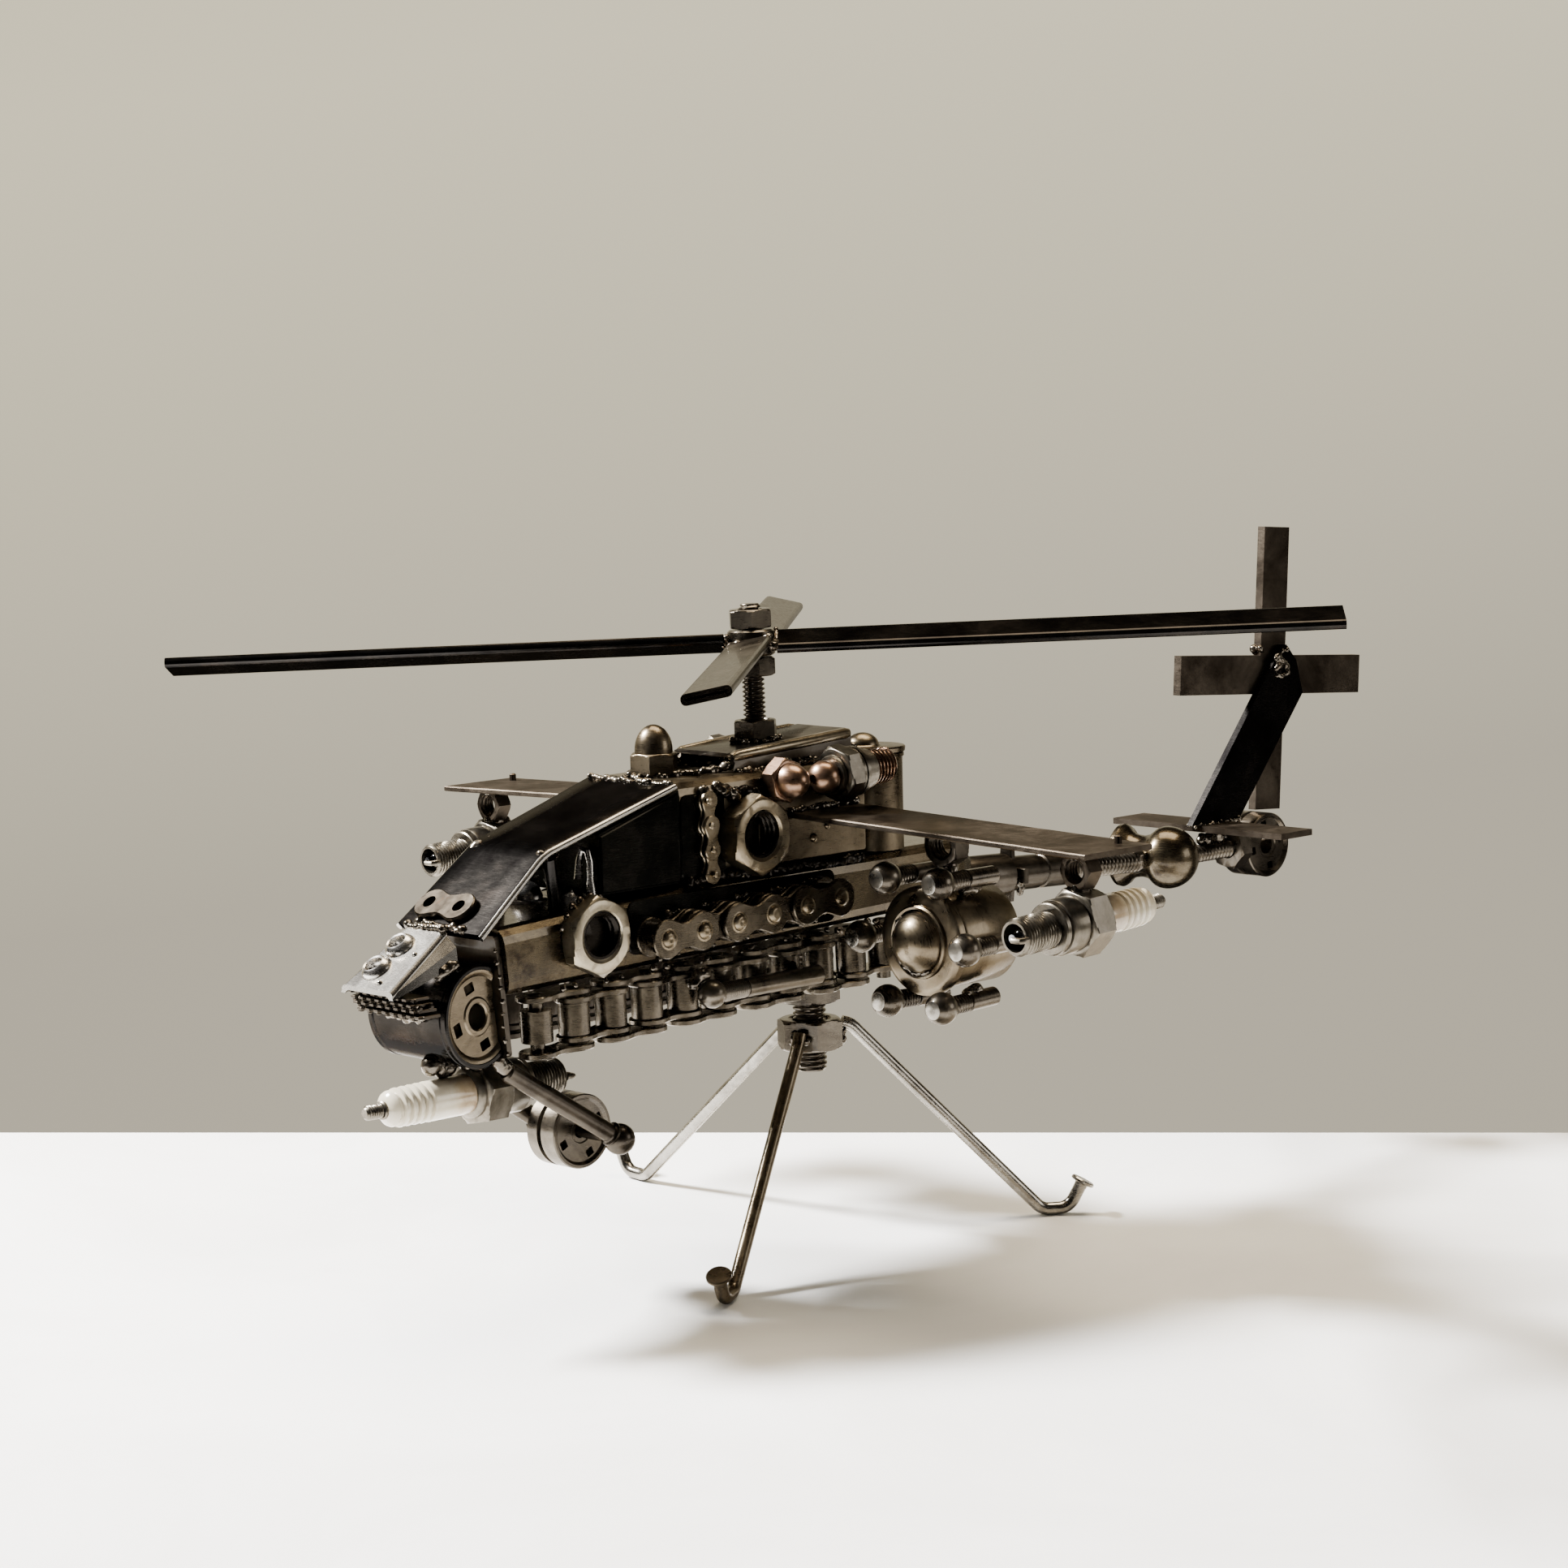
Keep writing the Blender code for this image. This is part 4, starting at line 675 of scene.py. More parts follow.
def cabin():
    dress("cabin_body", BRONZE, 0)
    dress("fuselage_tube", TUBE, 0.25)
    dress("nose_bulkhead", DARK, 0.3)
    dress("cockpit_box", NIGHT, 0.25)
    for name, side in SIDES:
        shape = Shape()
        outline = box_outline(-24.5, 16, -58.6, -46.9, 0.8)
        place = flank(side, 18.3)
        shape.plate(outline, 0, 1.4, place, 0.2)
        for x, z, r in ((-9.6, -50.4, 1.1), (-4.2, -53.2, 1.35)):
            shape.ball(r, at(x, side * 18.1, z), seg=14, rows=8)
        piece(f"engine_plate_{name}", shape, BRONZE, sharp=30)

        for label, flats, height, radius, x, z, turned_by, out, surface, node in (
                ("large", 19.4, 7.3, 5.35, 19.8, -49.6, 0, 16.8, GILT, "large_nut"),
                ("small", 19, 5.2, 5.3, 77.2, -69.7, 4, 18.3, BRASSY, "small_nut")):
            pose = at(x, side * out, z, to_y(side) @ turn(0, 0, turned_by))
            shape = Shape().nut(flats, height, radius + 0.45, 1.75, pose)
            piece(f"side_nut_{label}_{name}", shape, surface, f"{node}_{name}")
            # The threaded lining inside each nut is near-black: painted shade in the bore.
            piece(f"side_nut_thread_{label}_{name}", Shape().bore(height, radius, 1.75, pose), SHADE_BLACK)
        # Near-black sheets laid behind the side chain and behind the door chain: painted shade.
        soot_and_shade = Shape()
        bed = flank(side, 18.5)
        soot_and_shade.plate(box_outline(-12, 64, -77, -62.6, 2.5), 0, 0.7, bed, 0.3)
        bed = flank(side, 16.85)
        soot_and_shade.plate(box_outline(27, 43, -60, -37, 2), 0, 0.6, bed, 0.3)
        piece(f"painted_shade_beds_{name}", soot_and_shade, NIGHT)
        # Weld beads along the top of the tube and above the large nut, coloured near-black: painted shade.
        shade_crust = beads(side, (42, 17.6, -60, -24, 17.7, -60.6, 1.3, 44, 0.6),
                      (27, 17, -38, 13, 17.1, -38.6, 1.4, 10, 0.6))
        weld(f"cabin_shade_crust_{name}", shade_crust, SHADE_BLACK)
        outline = [(44, -59.8), (71.3, -59.8), (71.3, -44.8), (44, -36.3)]
        place = flank(side, 17.1)
        piece(f"cockpit_panel_{name}", Shape().plate(outline, 0, 0.8, place, 0.3), NIGHT)

        spots = collar((19.8, side * 17.3, -49.6), 9.8, "Y", 1.4, 12, 100, 250)
        spots += collar((77.2, side * 18.7, -69.7), 9.6, "Y", 1.3, 10, 20, 200)
        spots += beads(side, (29.5, 17, -36.5, 24, 17.2, -38, 1.9, 6, 0.9),
                       (35, 17.3, -36, 33.6, 17, -41, 1.5, 4, 0.7),
                       (37, 16.9, -60.2, 20, 17.2, -60.4, 1.1, 9, 0.5))
        weld(f"flank_weld_{name}", spots)


def canopy():
    """Bent strip of sheet: a gentle roof, one fold and a steep front."""
    stations = []
    path = [(45.2, -33.5), (60, -38), (75, -42.6), (84, -45.3), (87.6, -46.5), (89.6, -47.5), (91.4, -48.8),
            (98, -54), (105, -59.5), (112.6, -65.4)]
    half = (16.7, 16, 15.3, 14.9, 14.7, 14.6, 14.65, 15.2, 15.9, 16.7)
    for k, (x, z) in enumerate(path):
        x0, z0 = path[max(k - 1, 0)]
        x1, z1 = path[min(k + 1, len(path) - 1)]
        slope = Vector((x1 - x0, z1 - z0)).normalized()
        down = Vector((slope.y, -slope.x)) * (2 if k else 1.6)
        if down.y > 0:
            down = -down
        w = half[k]
        ring = []
        for share in (-1, -0.985, -0.5, 0, 0.5, 0.985, 1):
            lift = 0.12 if abs(share) > 0.99 else 0
            ring.append((x, w * share, z - lift))
        for share in (1, 0.985, 0.5, 0, -0.5, -0.985, -1):
            lift = 0.12 if abs(share) > 0.99 else 0
            ring.append((x + down.x, w * share, z + down.y + lift))
        stations.append(ring)
    shape = Shape().rings(stations)
    shape.roughen(0.1, 0.35, 1)
    for side in (1, -1):
        shape.bar([(83, side * 11.8, -62.9), (83.3, side * 11.9, -60.5), (84.6, side * 12.2, -53),
                   (85.4, side * 12.4, -49.6), (85.6, side * 12.4, -48)], [2.5, 1.75, 1.7, 2, 3.4], (0, 1, 0))
    piece("canopy_roof", shape, BLACK, "canopy_strip", sharp=28)

    # Pale bars along both edges of the strip: painted highlight on the sheet's edges.
    rim = Shape()
    for side in (1, -1):
        edge = [(x - 0.5, side * (w - 0.05), z - 1) for (x, z), w in zip(path, half)]
        rim.bar(edge, 0.95, (0, 1, 0), seg=12)
    rim.roughen(0.08, 0.5, 2)
    piece("canopy_edge_highlights", rim, PALE)

    outline = link_outline(12, 4.7, 3.4, 14)
    blank = Shape().plate(outline, 0, 1.5, edge=0.3)
    holes = [Shape().lathe([(-3, 1.95), (4, 1.95)], at(x, 0, 0), seg=24) for x in (0, 12)]
    shape = carved(blank, holes)
    place = AIR @ at(107.5, 3.6, -60.7, turn(0, 38, 0) @ turn(0, 0, -90))
    piece("canopy_link_plate", shape, DARK, "canopy_link", place, sharp=28)

    spots = beads(1, (45.6, -15.8, -33.9, 45.6, 15.8, -33.9, 1.2, 18, 0.5))
    for side in (1, -1):
        spots += beads(side, (84.2, 12.4, -47.8, 88.5, 13.4, -48.6, 1.8, 4, 0.6),
                       (82.2, 12, -62.6, 84.4, 12, -62.9, 1.5, 3, 0.5))
    spots += beads(1, (111.6, -9, -64.9, 111.8, 9.5, -64.9, 1.3, 10, 0.6))
    weld("canopy_weld", spots)
    # A dome with a bent bracket stands on the tube on both sides, behind the window.
    for name, side in SIDES:
        shape = Shape()
        shape.ball(4.6, at(76, side * 8.6, -62.6), seg=28, rows=10, low=0, high=90)
        shape.lathe([(-64.5, 6), (-62.9, 6), (-62.6, 5.6), (-62.5, 4.6)], at(76, side * 8.6, 0))
        shape.bar([(73.2, side * 14.8, -60.4), (73.4, side * 14.8, -56), (73.2, side * 14.6, -51.5),
                   (73, side * 13.6, -48.8), (73.2, side * 11.6, -48.2), (73.6, side * 10.6, -51.5),
                   (74, side * 10.8, -56)], [1.5, 0.9, 0.9, 1, 0.9, 0.9, 1.3], (1, 0, 0), seg=12)
        piece(f"cockpit_dome_{name}", shape, SILVER)


# ---- nose

def nose():
    """Bent hood with flared eyelets over a toothed chain and a cut can."""
    stations = []
    for share in (0, 0.06, 0.3, 0.6, 0.9, 0.97, 1):
        x = 116 + 19.9 * share
        top = -64.2 - 13.3 * share
        half = 7.4 + 2.5 * share
        wide = 12.2 - 1.5 * share
        low = top - (8.6 - 6.4 * share)
        sheet = 1.3
        outer = [(wide, low), (wide - 0.5, (low + top) / 2)]
        for j in range(6):
            angle = radians(90 * j / 5)
            outer.append((half - 1.4 + 2.1 * cos(angle), top - 1.6 + 1.6 * sin(angle)))
        outer += [(half * 0.4, top), (0, top)]
        ring = outer + [(-y, z) for y, z in reversed(outer[:-1])]
        inner = [(y * (1 - sheet / wide), z - (sheet if j > 2 else 0)) for j, (y, z) in enumerate(outer)]
        inner_ring = inner + [(-y, z) for y, z in reversed(inner[:-1])]
        ring = ring + inner_ring[::-1]
        stations.append([(x, y, z) for y, z in ring])
    shape = Shape().rings(stations)
    shape.roughen(0.08, 0.25, 5)
    holes = []
    slope = turn(0, 33.7, 0)
    for x, y, z in ((123, -2.4, -68.8), (130.2, -3, -73.7)):
        holes.append(Shape().lathe([(-5, 2.35), (5, 2.35)], at(x, y, z, slope), seg=24))
    shape = carved(shape, holes)
    eyelets = Shape()
    for x, y, z in ((123, -2.4, -68.8), (130.2, -3, -73.7)):
        eyelets.lathe([(-1.2, 2.3), (-1.2, 4.1), (0.4, 4.2), (1.1, 3.8), (1.9, 3.2), (2.1, 2.8), (1.9, 2.4),
                       (1.2, 2.2), (-0.6, 2.1)], at(x, y, z, slope), seg=32, closed=True)
    piece("nose_eyelets", eyelets, SILVER)
    for x, y, z in ((124.6, 5.6, -69.9), (134, 3, -76.1)):
        shape.ball(0.75, at(x, y, z), seg=12, rows=6)
    piece("nose_cowl", shape, PALE, "nose_hood", sharp=30)

    # Thin toothed plates stacked on two rows of pins.
    shape = Shape()
    for k in range(4):
        line = []
        for j in range(8):
            y = -12.2 + 3.3 * j + 0.3 * (k % 2)
            line += [(131.6, y), (131.8, y + 1.9), (130.8, y + 2.3), (130.8, y + 2.9)]
        outline = line + [(125.4, 14), (125.4, -12.2)]
        shape.plate(outline, 0, 0.85, at(0, 0, -80.6 - 1.35 * k, turn(0, 0, 0.6 * (k - 1.5))), 0.15)
    for k in range(7):
        shape.lathe([(-85.6, 0.5), (-85.4, 0.8), (-80, 0.8), (-79.8, 0.5)], at(129.6, -10.9 + 3.7 * k, 0), seg=12)
    for x in (126.6, 130.2):
        shape.lathe([(-12.6, 0.5), (-12.3, 1), (14.3, 1), (14.6, 0.5)], at(x, 0, -82.2, turn(-90)), seg=12)
    piece("nose_tooth_chain", shape, DARK, "nose_chain", sharp=28)

    low, high = -17.5, 14.8
    place = at(111.5, 0, -86.8, turn(-90)) @ Matrix.Diagonal((0.85, 1, 1, 1))
    shell = Shape().lathe([(low, 12.2), (low, 13), (low + 0.3, 13.4), (low + 1.7, 13.4), (low + 2, 13),
                           (low + 2.4, 13), (low + 2.7, 13.3), (high - 2.7, 13.3), (high - 2.4, 13),
                           (high - 2, 13), (high - 1.7, 13.4), (high - 0.3, 13.4), (high, 13), (high, 12.2),
                           (high - 1.6, 11.9), (low + 1.6, 11.9)], place, seg=72, closed=True)
    behind = []
    for z in (-130, -50):
        x = 106.1 + 0.0963 * (z + 82.3)
        behind.append([(60, -30, z), (x, -30, z), (x, 30, z), (60, 30, z)])
    aft = Shape().rings(behind)
    piece("nose_can_shell", carved(shell, [aft]), BLACK, "nose_roller", sharp=30)
    for name, face, flip in (("port", high, 0), ("starboard", -low, 180)):
        disc = Shape().lathe([(face - 2.4, 3.3), (face - 1.4, 3.3), (face - 1, 3.7), (face - 1, 4.7),
                              (face - 1.35, 5.2), (face - 1.25, 10.4), (face - 0.8, 10.9), (face - 0.5, 11.4),
                              (face - 0.4, 12.1), (face - 1.2, 12.3), (face - 2.4, 12)],
                             place @ turn(flip), seg=72, closed=True)
        cutters = [aft]
        for angle in (20, 110, 200, 290):
            cutters.append(Shape().prism(box_outline(6.6, 9.3, -1.8, 1.8, 0.3, 2), face - 4, face + 2,
                                         place @ turn(flip) @ turn(0, 0, angle)))
        piece(f"nose_can_disc_{name}", carved(disc, cutters), BRONZE, sharp=30)

    spots = beads(1, (116.2, -7.5, -64.6, 116.4, 7.5, -64.6, 1.1, 9, 0.4))
    for side in (1, -1):
        spots += beads(side, (117, 11.6, -72.6, 121, 11, -75.6, 1.5, 5, 0.6),
                       (124.2, 7, -86.2, 124.8, 2, -86.6, 1.2, 4, 0.6),
                       (106.9, 16.2, -70, 104.3, 16.2, -97, 0.8, 9, 0.3),
                       (105.4, 12, -99, 102.6, 13.4, -102, 2, 5, 0.6))
    spots += beads(1, (117, 0, -99.6, 111, 0, -101.6, 2.3, 7, 0.9),
                   (107.5, 3, -100, 98, 2, -101, 2.2, 7, 1))
    weld("nose_weld", spots)


# ---- chains

def chains():
    for name, side in SIDES:
        lay = axes((1, 0, 0), (0, 0, -side), (0, side, 0))
        place = at(-6.6, side * 18.3, -69.4, turn(0, 3, 0) @ lay)
        shape = Shape()
        for k in range(5):
            outer = k % 2 == 0
            outline = link_outline(CHAIN_PITCH, 5.3 if outer else 5.5, 3.3, 10)
            for low in ((0, 6.5) if outer else (1.7, 4.9)):
                shape.plate(outline, low, low + 1.5, place @ at(CHAIN_PITCH * k, 0, 0), 0.3)
        pins = Shape()
        for k in range(6):
            spot = place @ at(CHAIN_PITCH * k, 0, 0)
            shape.lathe([(1.6, 3.9), (4.9, 3.9)], spot, seg=20)
            pins.lathe([(6, 2.2), (8.1, 2.35), (8.5, 2.2), (8.9, 1.6), (9, 0.9), (8.9, 0.3)], spot, seg=20)
            pins.lathe([(6.4, 2.9), (8.05, 2.9), (8.1, 2.7), (8.1, 2.2)], spot, seg=20)
        piece(f"side_chain_links_{name}", shape, CHAIN, f"side_chain_{name}", sharp=30)
        piece(f"side_chain_pins_{name}", pins, DOOR)

        share = (-35 + 69) / (104 + 69)
        bottom = -77.8 - 4.7 * share - 0.8 - 17.2
        place = at(-35, side * 13.6, bottom, turn(0, 1.7, 0))
        shape = Shape()
        for k in range(10):
            outer = k % 2 == 1
            outline = link_outline(CHAIN_PITCH, 5.1, 3.4, 10)
            for low in ((0.4, 15.2) if outer else (2.6, 13)):
                shape.plate(outline, low, low + 1.6, place @ at(CHAIN_PITCH * k, 0, 0), 0.3)
        for k in range(11):
            spot = place @ at(CHAIN_PITCH * k, 0, 0)
            shape.lathe([(4.3, 3.7), (4.4, 4.25), (12.8, 4.25), (12.9, 3.7)], spot, seg=26)
            shape.lathe([(0, 1.2), (0.2, 2), (17, 2), (17.2, 1.2)], spot, seg=16)
        # The starboard belly chain gets the darker steel, though it is the same chain as the port one: painted shade.
        piece(f"belly_chain_links_{name}", shape, CHAIN if side > 0 else DARK, f"belly_chain_{name}",
              sharp=30)

        place = at(34.3, side * 16.8, -58.9, axes((0, 0, 1), (side, 0, 0), (0, side, 0)))
        shape = Shape()
        for k, bend in ((0, 2), (1, 0), (2, -4)):
            outline = link_outline(DOOR_PITCH, 2.75, 1.75, 8)
            high = 2 if k % 2 else 1.3
            shape.plate(outline, high, high + 1, place @ at(DOOR_PITCH * k, 0.5 * (k - 1), 0, turn(0, 0, bend)), 0.2)
            shape.plate(outline, 0, 0.9, place @ at(DOOR_PITCH * k, 0.5 * (k - 1), 0, turn(0, 0, bend)), 0.2)
        for k in range(4):
            spot = place @ at(DOOR_PITCH * k, 0.5 * (k - 1) - 0.1, 0)
            shape.lathe([(0.6, 1.5), (2, 1.5), (2.1, 1.1), (3.2, 1.1), (3.5, 0.9), (3.6, 0.3)], spot, seg=14)
        piece(f"door_chain_links_{name}", shape, DOOR, f"door_chain_{name}", sharp=30)

        place = at(-1.5, side * 22.2, -90.2, TO_X)
        shape = Shape()
        shape.lathe([(0, 2.3), (0.4, 2.6), (28, 2.6)], place, seg=24)
        shape.thread(27.5, 38, 2.62, 0.7, place, per=5)
        shape.ball(3.9, place @ at(0, 0, 40), rows=14, low=-80, high=66)
        piece(f"belly_rod_{name}", shape, STEEL, f"belly_bolt_{name}")

        spots = []
        for k in range(5):
            x, rise = CHAIN_PITCH * k, 0.65 * k
            spots += beads(side, (-4 + x, 18.5, -64.6 - rise, x, 18.6, -64.8 - rise, 1.1, 3, 0.4),
                           (-4 + x, 18.3, -76 - rise, 2 + x, 18.2, -76.4 - rise, 0.8, 3, 0.4))
        spots += beads(side, (43, 20.6, -87, 40, 20.6, -84.6, 1.7, 4, 0.6),
                       (2, 19.6, -90, -4, 17.2, -90.5, 1.5, 4, 0.5))
        for k in range(8):
            x, rise = 16 * k, 0.45 * k
            spots += beads(side, (-30 + x, 16.6, -79.6 - rise, -26 + x, 17, -79.8 - rise, 1.1, 2, 0.6))
        weld(f"chain_weld_{name}", spots)


# ---- wings, pods, plugs

def wing_top(y):
    return -45.6 - 2.1 * (abs(y) - 16.8) / (128 - 16.8)


def wings():
    for name, side in SIDES:
        shape = Shape()
        rings = []
        for k in range(23):
            share = k / 22
            y = 16.8 + 111.2 * share
            rear = -22.5 + 4.5 * share
            front = 3.5 + 4.5 * share
            top = wing_top(y)
            wear = 0.22 * noise.noise(Vector((y * 0.4, 3, 1)))
            ring = [(rear + 0.25, top), (front - 0.3 + wear, top), (front + wear, top - 0.3),
                    (front + wear, top - 1.2), (front - 0.3 + wear, top - 1.5),
                    (rear + 0.25, top - 1.5), (rear, top - 1.2), (rear, top - 0.3)]
            rings.append([(x, side * y, z) for x, z in ring])
        shape.rings(rings)
        y = side * 117.5
        shape.nut(9.3, 5, 2.6, 1, at(-5, y, wing_top(y) - 6.05, TO_X @ turn(0, 0, 30)), corner=0.8)
        shape.lathe([(-1.6, 1), (1.6, 1), (1.9, 0.6)], at(-13, side * 121, wing_top(121) + 0.2), seg=12)
        shape.roughen(0.06, 0.5, 9)
        piece(f"wing_plate_{name}", shape, SHEET, f"wing_{name}", sharp=28)
        spots = beads(side, (2.6, 17.2, -45.2, -22, 17.2, -45, 1.2, 12, 0.4),
                      (2.6, 17.2, -47.6, -22, 17.2, -47.6, 1.1, 12, 0.4))
        spots += bead((-0.6, y, wing_top(y) - 2), (-4.6, y, wing_top(y) - 2), 1.4, 3, 0.4)
        spots += bead((-1, y, wing_top(y) - 10.6), (-5, y, wing_top(y) - 12), 2, 7, 0.9)
        spots += bead((-3, y, wing_top(y) - 11), (-6.5, y + 2, wing_top(y) - 12.6), 1.7, 5, 0.9)
        weld(f"wing_weld_{name}", spots)
        pod(name, side)
        plug(name, AIR @ at(23, side * 117.5, -67.9, turn(0, -87.2, 0)), 0)


def pod(name, side):
    """Rocket pod; its own Z runs aft and its own X runs up."""
    place = AIR @ at(-9, side * 53, -79.3, AFT)
    shape = Shape()
    profile = [(0.35, 8.2), (0.3, 12.9), (0.7, 14.1), (1.2, 14.8), (1.9, 14.95), (3.2, 14.95), (3.6, 14.3),
               (3.8, 13), (4.9, 12.9), (5.1, 13.4), (5.6, 13.6), (25.2, 13.6), (25.8, 13.2), (26, 12.4), (26, 0.2)]
    shape.lathe([(0.35, 0.2)] + profile, seg=56)
    shape.lathe([(0.4, 8.6), (-0.7, 8.9), (-0.9, 9.5), (-0.5, 10), (0.5, 10.2)], seg=48)
    shape.ball(9.2, at(0, 0, 3, turn(180)), seg=40, rows=14, low=20, high=90)
    piece(f"pod_can_{name}", shape, BRONZE, f"rocket_pod_{name}", place)

    shape = Shape()
    faces = Shape()
    spots = collar((0, 0, -0.5), 8.4, "Z", 0.8, 22, 150, 330, 0.3)
    for k in range(6):
        angle = radians(60 * (k + 0.5))
        x, y = 19.4 * cos(angle), 19.4 * sin(angle)
        tilt = at(x, y, draw(-0.5, 0.5), turn(draw(-2.5, 2.5), draw(-2.5, 2.5), 0))
        shape.ball(4.5, tilt @ at(0, 0, -2.2, turn(180)), seg=26, rows=16, low=-85, high=54.7)
        faces.lathe([(-6.05, 0.3), (-6, 2.2), (-5.85, 2.55), (-5.4, 2.8)], tilt, seg=28)
        shape.thread(0.8, 8.5, 2.6, 1, tilt)
        shape.lathe([(8.4, 2.3), (8.6, 2.6), (19, 2.6), (19.5, 2.2)], tilt, seg=22)
        near = 16.5
        spots += bead((near * cos(angle), near * sin(angle), 10 + 4 * (k % 2)),
                      (near * cos(angle), near * sin(angle), 14.5 + 4 * (k % 2)), 1.8, 4, 0.7)
    piece(f"pod_rockets_{name}", shape, STEEL, place=place)
    piece(f"pod_rocket_faces_{name}", faces, CHROME, place=place)

    top = wing_top(53) - 1.8 + 79.3
    shape = Shape().nut(11.6, 5.4, 3.3, 1.25, at(top - 5.9, 0, 9, turn(0, 0, 30)))
    shape.roughen(0.15, 0.3, 2)
    piece(f"pod_hanger_{name}", shape, DARK, place=place)
    spots += beads(1, (top - 0.6, 0, 9.5, top - 0.6, 0, 14, 1.4, 4, 0.6),
                   (13.2, 0, 10, top - 11.4, 0, 12.5, 2.3, 9, 0.8), (13, -2, 10, 13, 2.5, 13.5, 1.7, 5))
    weld(f"pod_weld_{name}", spots, place=place)


def plug(name, place, longer):
    """Spark plug from its threaded end (Z 0) to its terminal."""
    shape = Shape()
    seg = 36
    rows = 62
    rings = []
    for i in range(rows + 1):
        z = 0.3 + 12 * i / rows
        rings.append(thread_ring(seg, lambda crest: min(4.95 - 0.8 * (1 - crest),
                                                        4.95 - 0.6 * max(0, 1 - (z - 0.3) / 0.8)), z, 1))
    for z, r in ((12.5, 4.4), (12.75, 4.6), (12.8, 6.5), (13.1, 6.8), (14.3, 6.8), (14.6, 6.5), (14.65, 6),
                 (14.8, 6.1), (14.9, 7.1), (15.2, 7.3), (20.9, 7.3), (21.3, 7), (21.6, 6.7), (21.65, 3.7),
                 (2, 3.7), (1, 3.7), (0.3, 3.7)):
        rings.append(ring_of(seg, r, z))
    shape.rings(rings, closed=True)
    shape.nut(16, 8, 4.9, 1, at(0, 0, 21.5, turn(0, 0, 12)))
    shape.lathe([(29.3, 5.2), (29.4, 6.7), (30.6, 6.6), (31.2, 6.2), (31.5, 5.5), (31.5, 4), (29.3, 4)], seg=seg,
                closed=True)
    shape.bar([(0, 4.3, 0.6), (0, 4.3, -1.2), (0, 3.9, -1.9), (0, 3, -2.1), (0, 1.4, -2.1)], 0.8, (1, 0, 0), seg=10)
    piece(f"plug_body_{name}", shape, PLATED, f"plug_shell_{name}", place)

    s = longer
    profile = [(14, 3.3), (31.4, 3.3), (31.5, 5.25), (36.5 + s, 5.25)]
    for k in range(5):
        z = 37.4 + s + 2.3 * k
        big = 5.2 - 0.04 * k
        profile += [(z - 0.6, big), (z, big + 0.1), (z + 0.45, big - 0.05), (z + 0.8, big - 1),
                    (z + 1.2, big - 1)]
    profile += [(48.9 + s, 4.7), (49.6 + s, 4.4), (50.4 + s, 3.5), (51 + s, 2.6), (51.2 + s, 2), (51.2 + s, 0.5)]
    shape = Shape().lathe(profile, seg=40)
    piece(f"plug_ceramic_{name}", shape, CERAMIC, f"plug_core_{name}", place, sharp=50)
    shape = Shape()
    shape.thread(51 + s, 57 + s, 1.95, 0.7, per=5)
    shape.lathe([(50.6 + s, 2.4), (51.6 + s, 2.5), (51.9 + s, 2.2)])
    piece(f"plug_terminal_{name}", shape, PLATED, place=place)
    shape = Shape()
    shape.ball(2.6, at(0, 0, 3.5, turn(180)), seg=24, rows=12)
    shape.lathe([(3, 2.5), (14.5, 3.2)])
    shape.lathe([(-0.6, 1.1), (-0.4, 1.25), (3, 1.25)], seg=16)
    piece(f"plug_nose_{name}", shape, GLASS, place=place)


# ---- tail

def wheel_shape(place, radius, half, hole, groove, slots, first=0):
    """Pulley wheel: rims, groove, sunk faces with a hub and slots."""
    rim = radius - 1.3
    profile = [(-half + 1, hole), (-half + 1, hole + 1.1), (-half + 0.7, hole + 1.4), (-half + 0.8, rim - 0.5),
               (-half + 0.3, rim), (-half, rim + 0.3), (-half, radius - 0.3), (-half + 0.35, radius)]
    for centre in groove:
        profile += [(centre - 0.8, radius), (centre - 0.5, radius - 1.5), (centre + 0.5, radius - 1.5),
                    (centre + 0.8, radius)]
    profile += [(half - 0.35, radius), (half, radius - 0.3), (half, rim + 0.3), (half - 0.3, rim),
                (half - 0.8, rim - 0.5), (half - 0.7, hole + 1.4), (half - 1, hole + 1.1), (half - 1, hole)]
    blank = Shape().lathe(profile, place, seg=56, closed=True)
    cutters = []
    for k in range(slots):
        for flip in (0, 180):
            cutters.append(Shape().prism(box_outline(rim - 3.2, rim - 1, -1.2, 1.2, 0.25, 2),
                                         half - 3, half + 1,
                                         place @ turn(flip) @ turn(0, 0, first + 360 / slots * k)))
    return carved(blank, cutters)


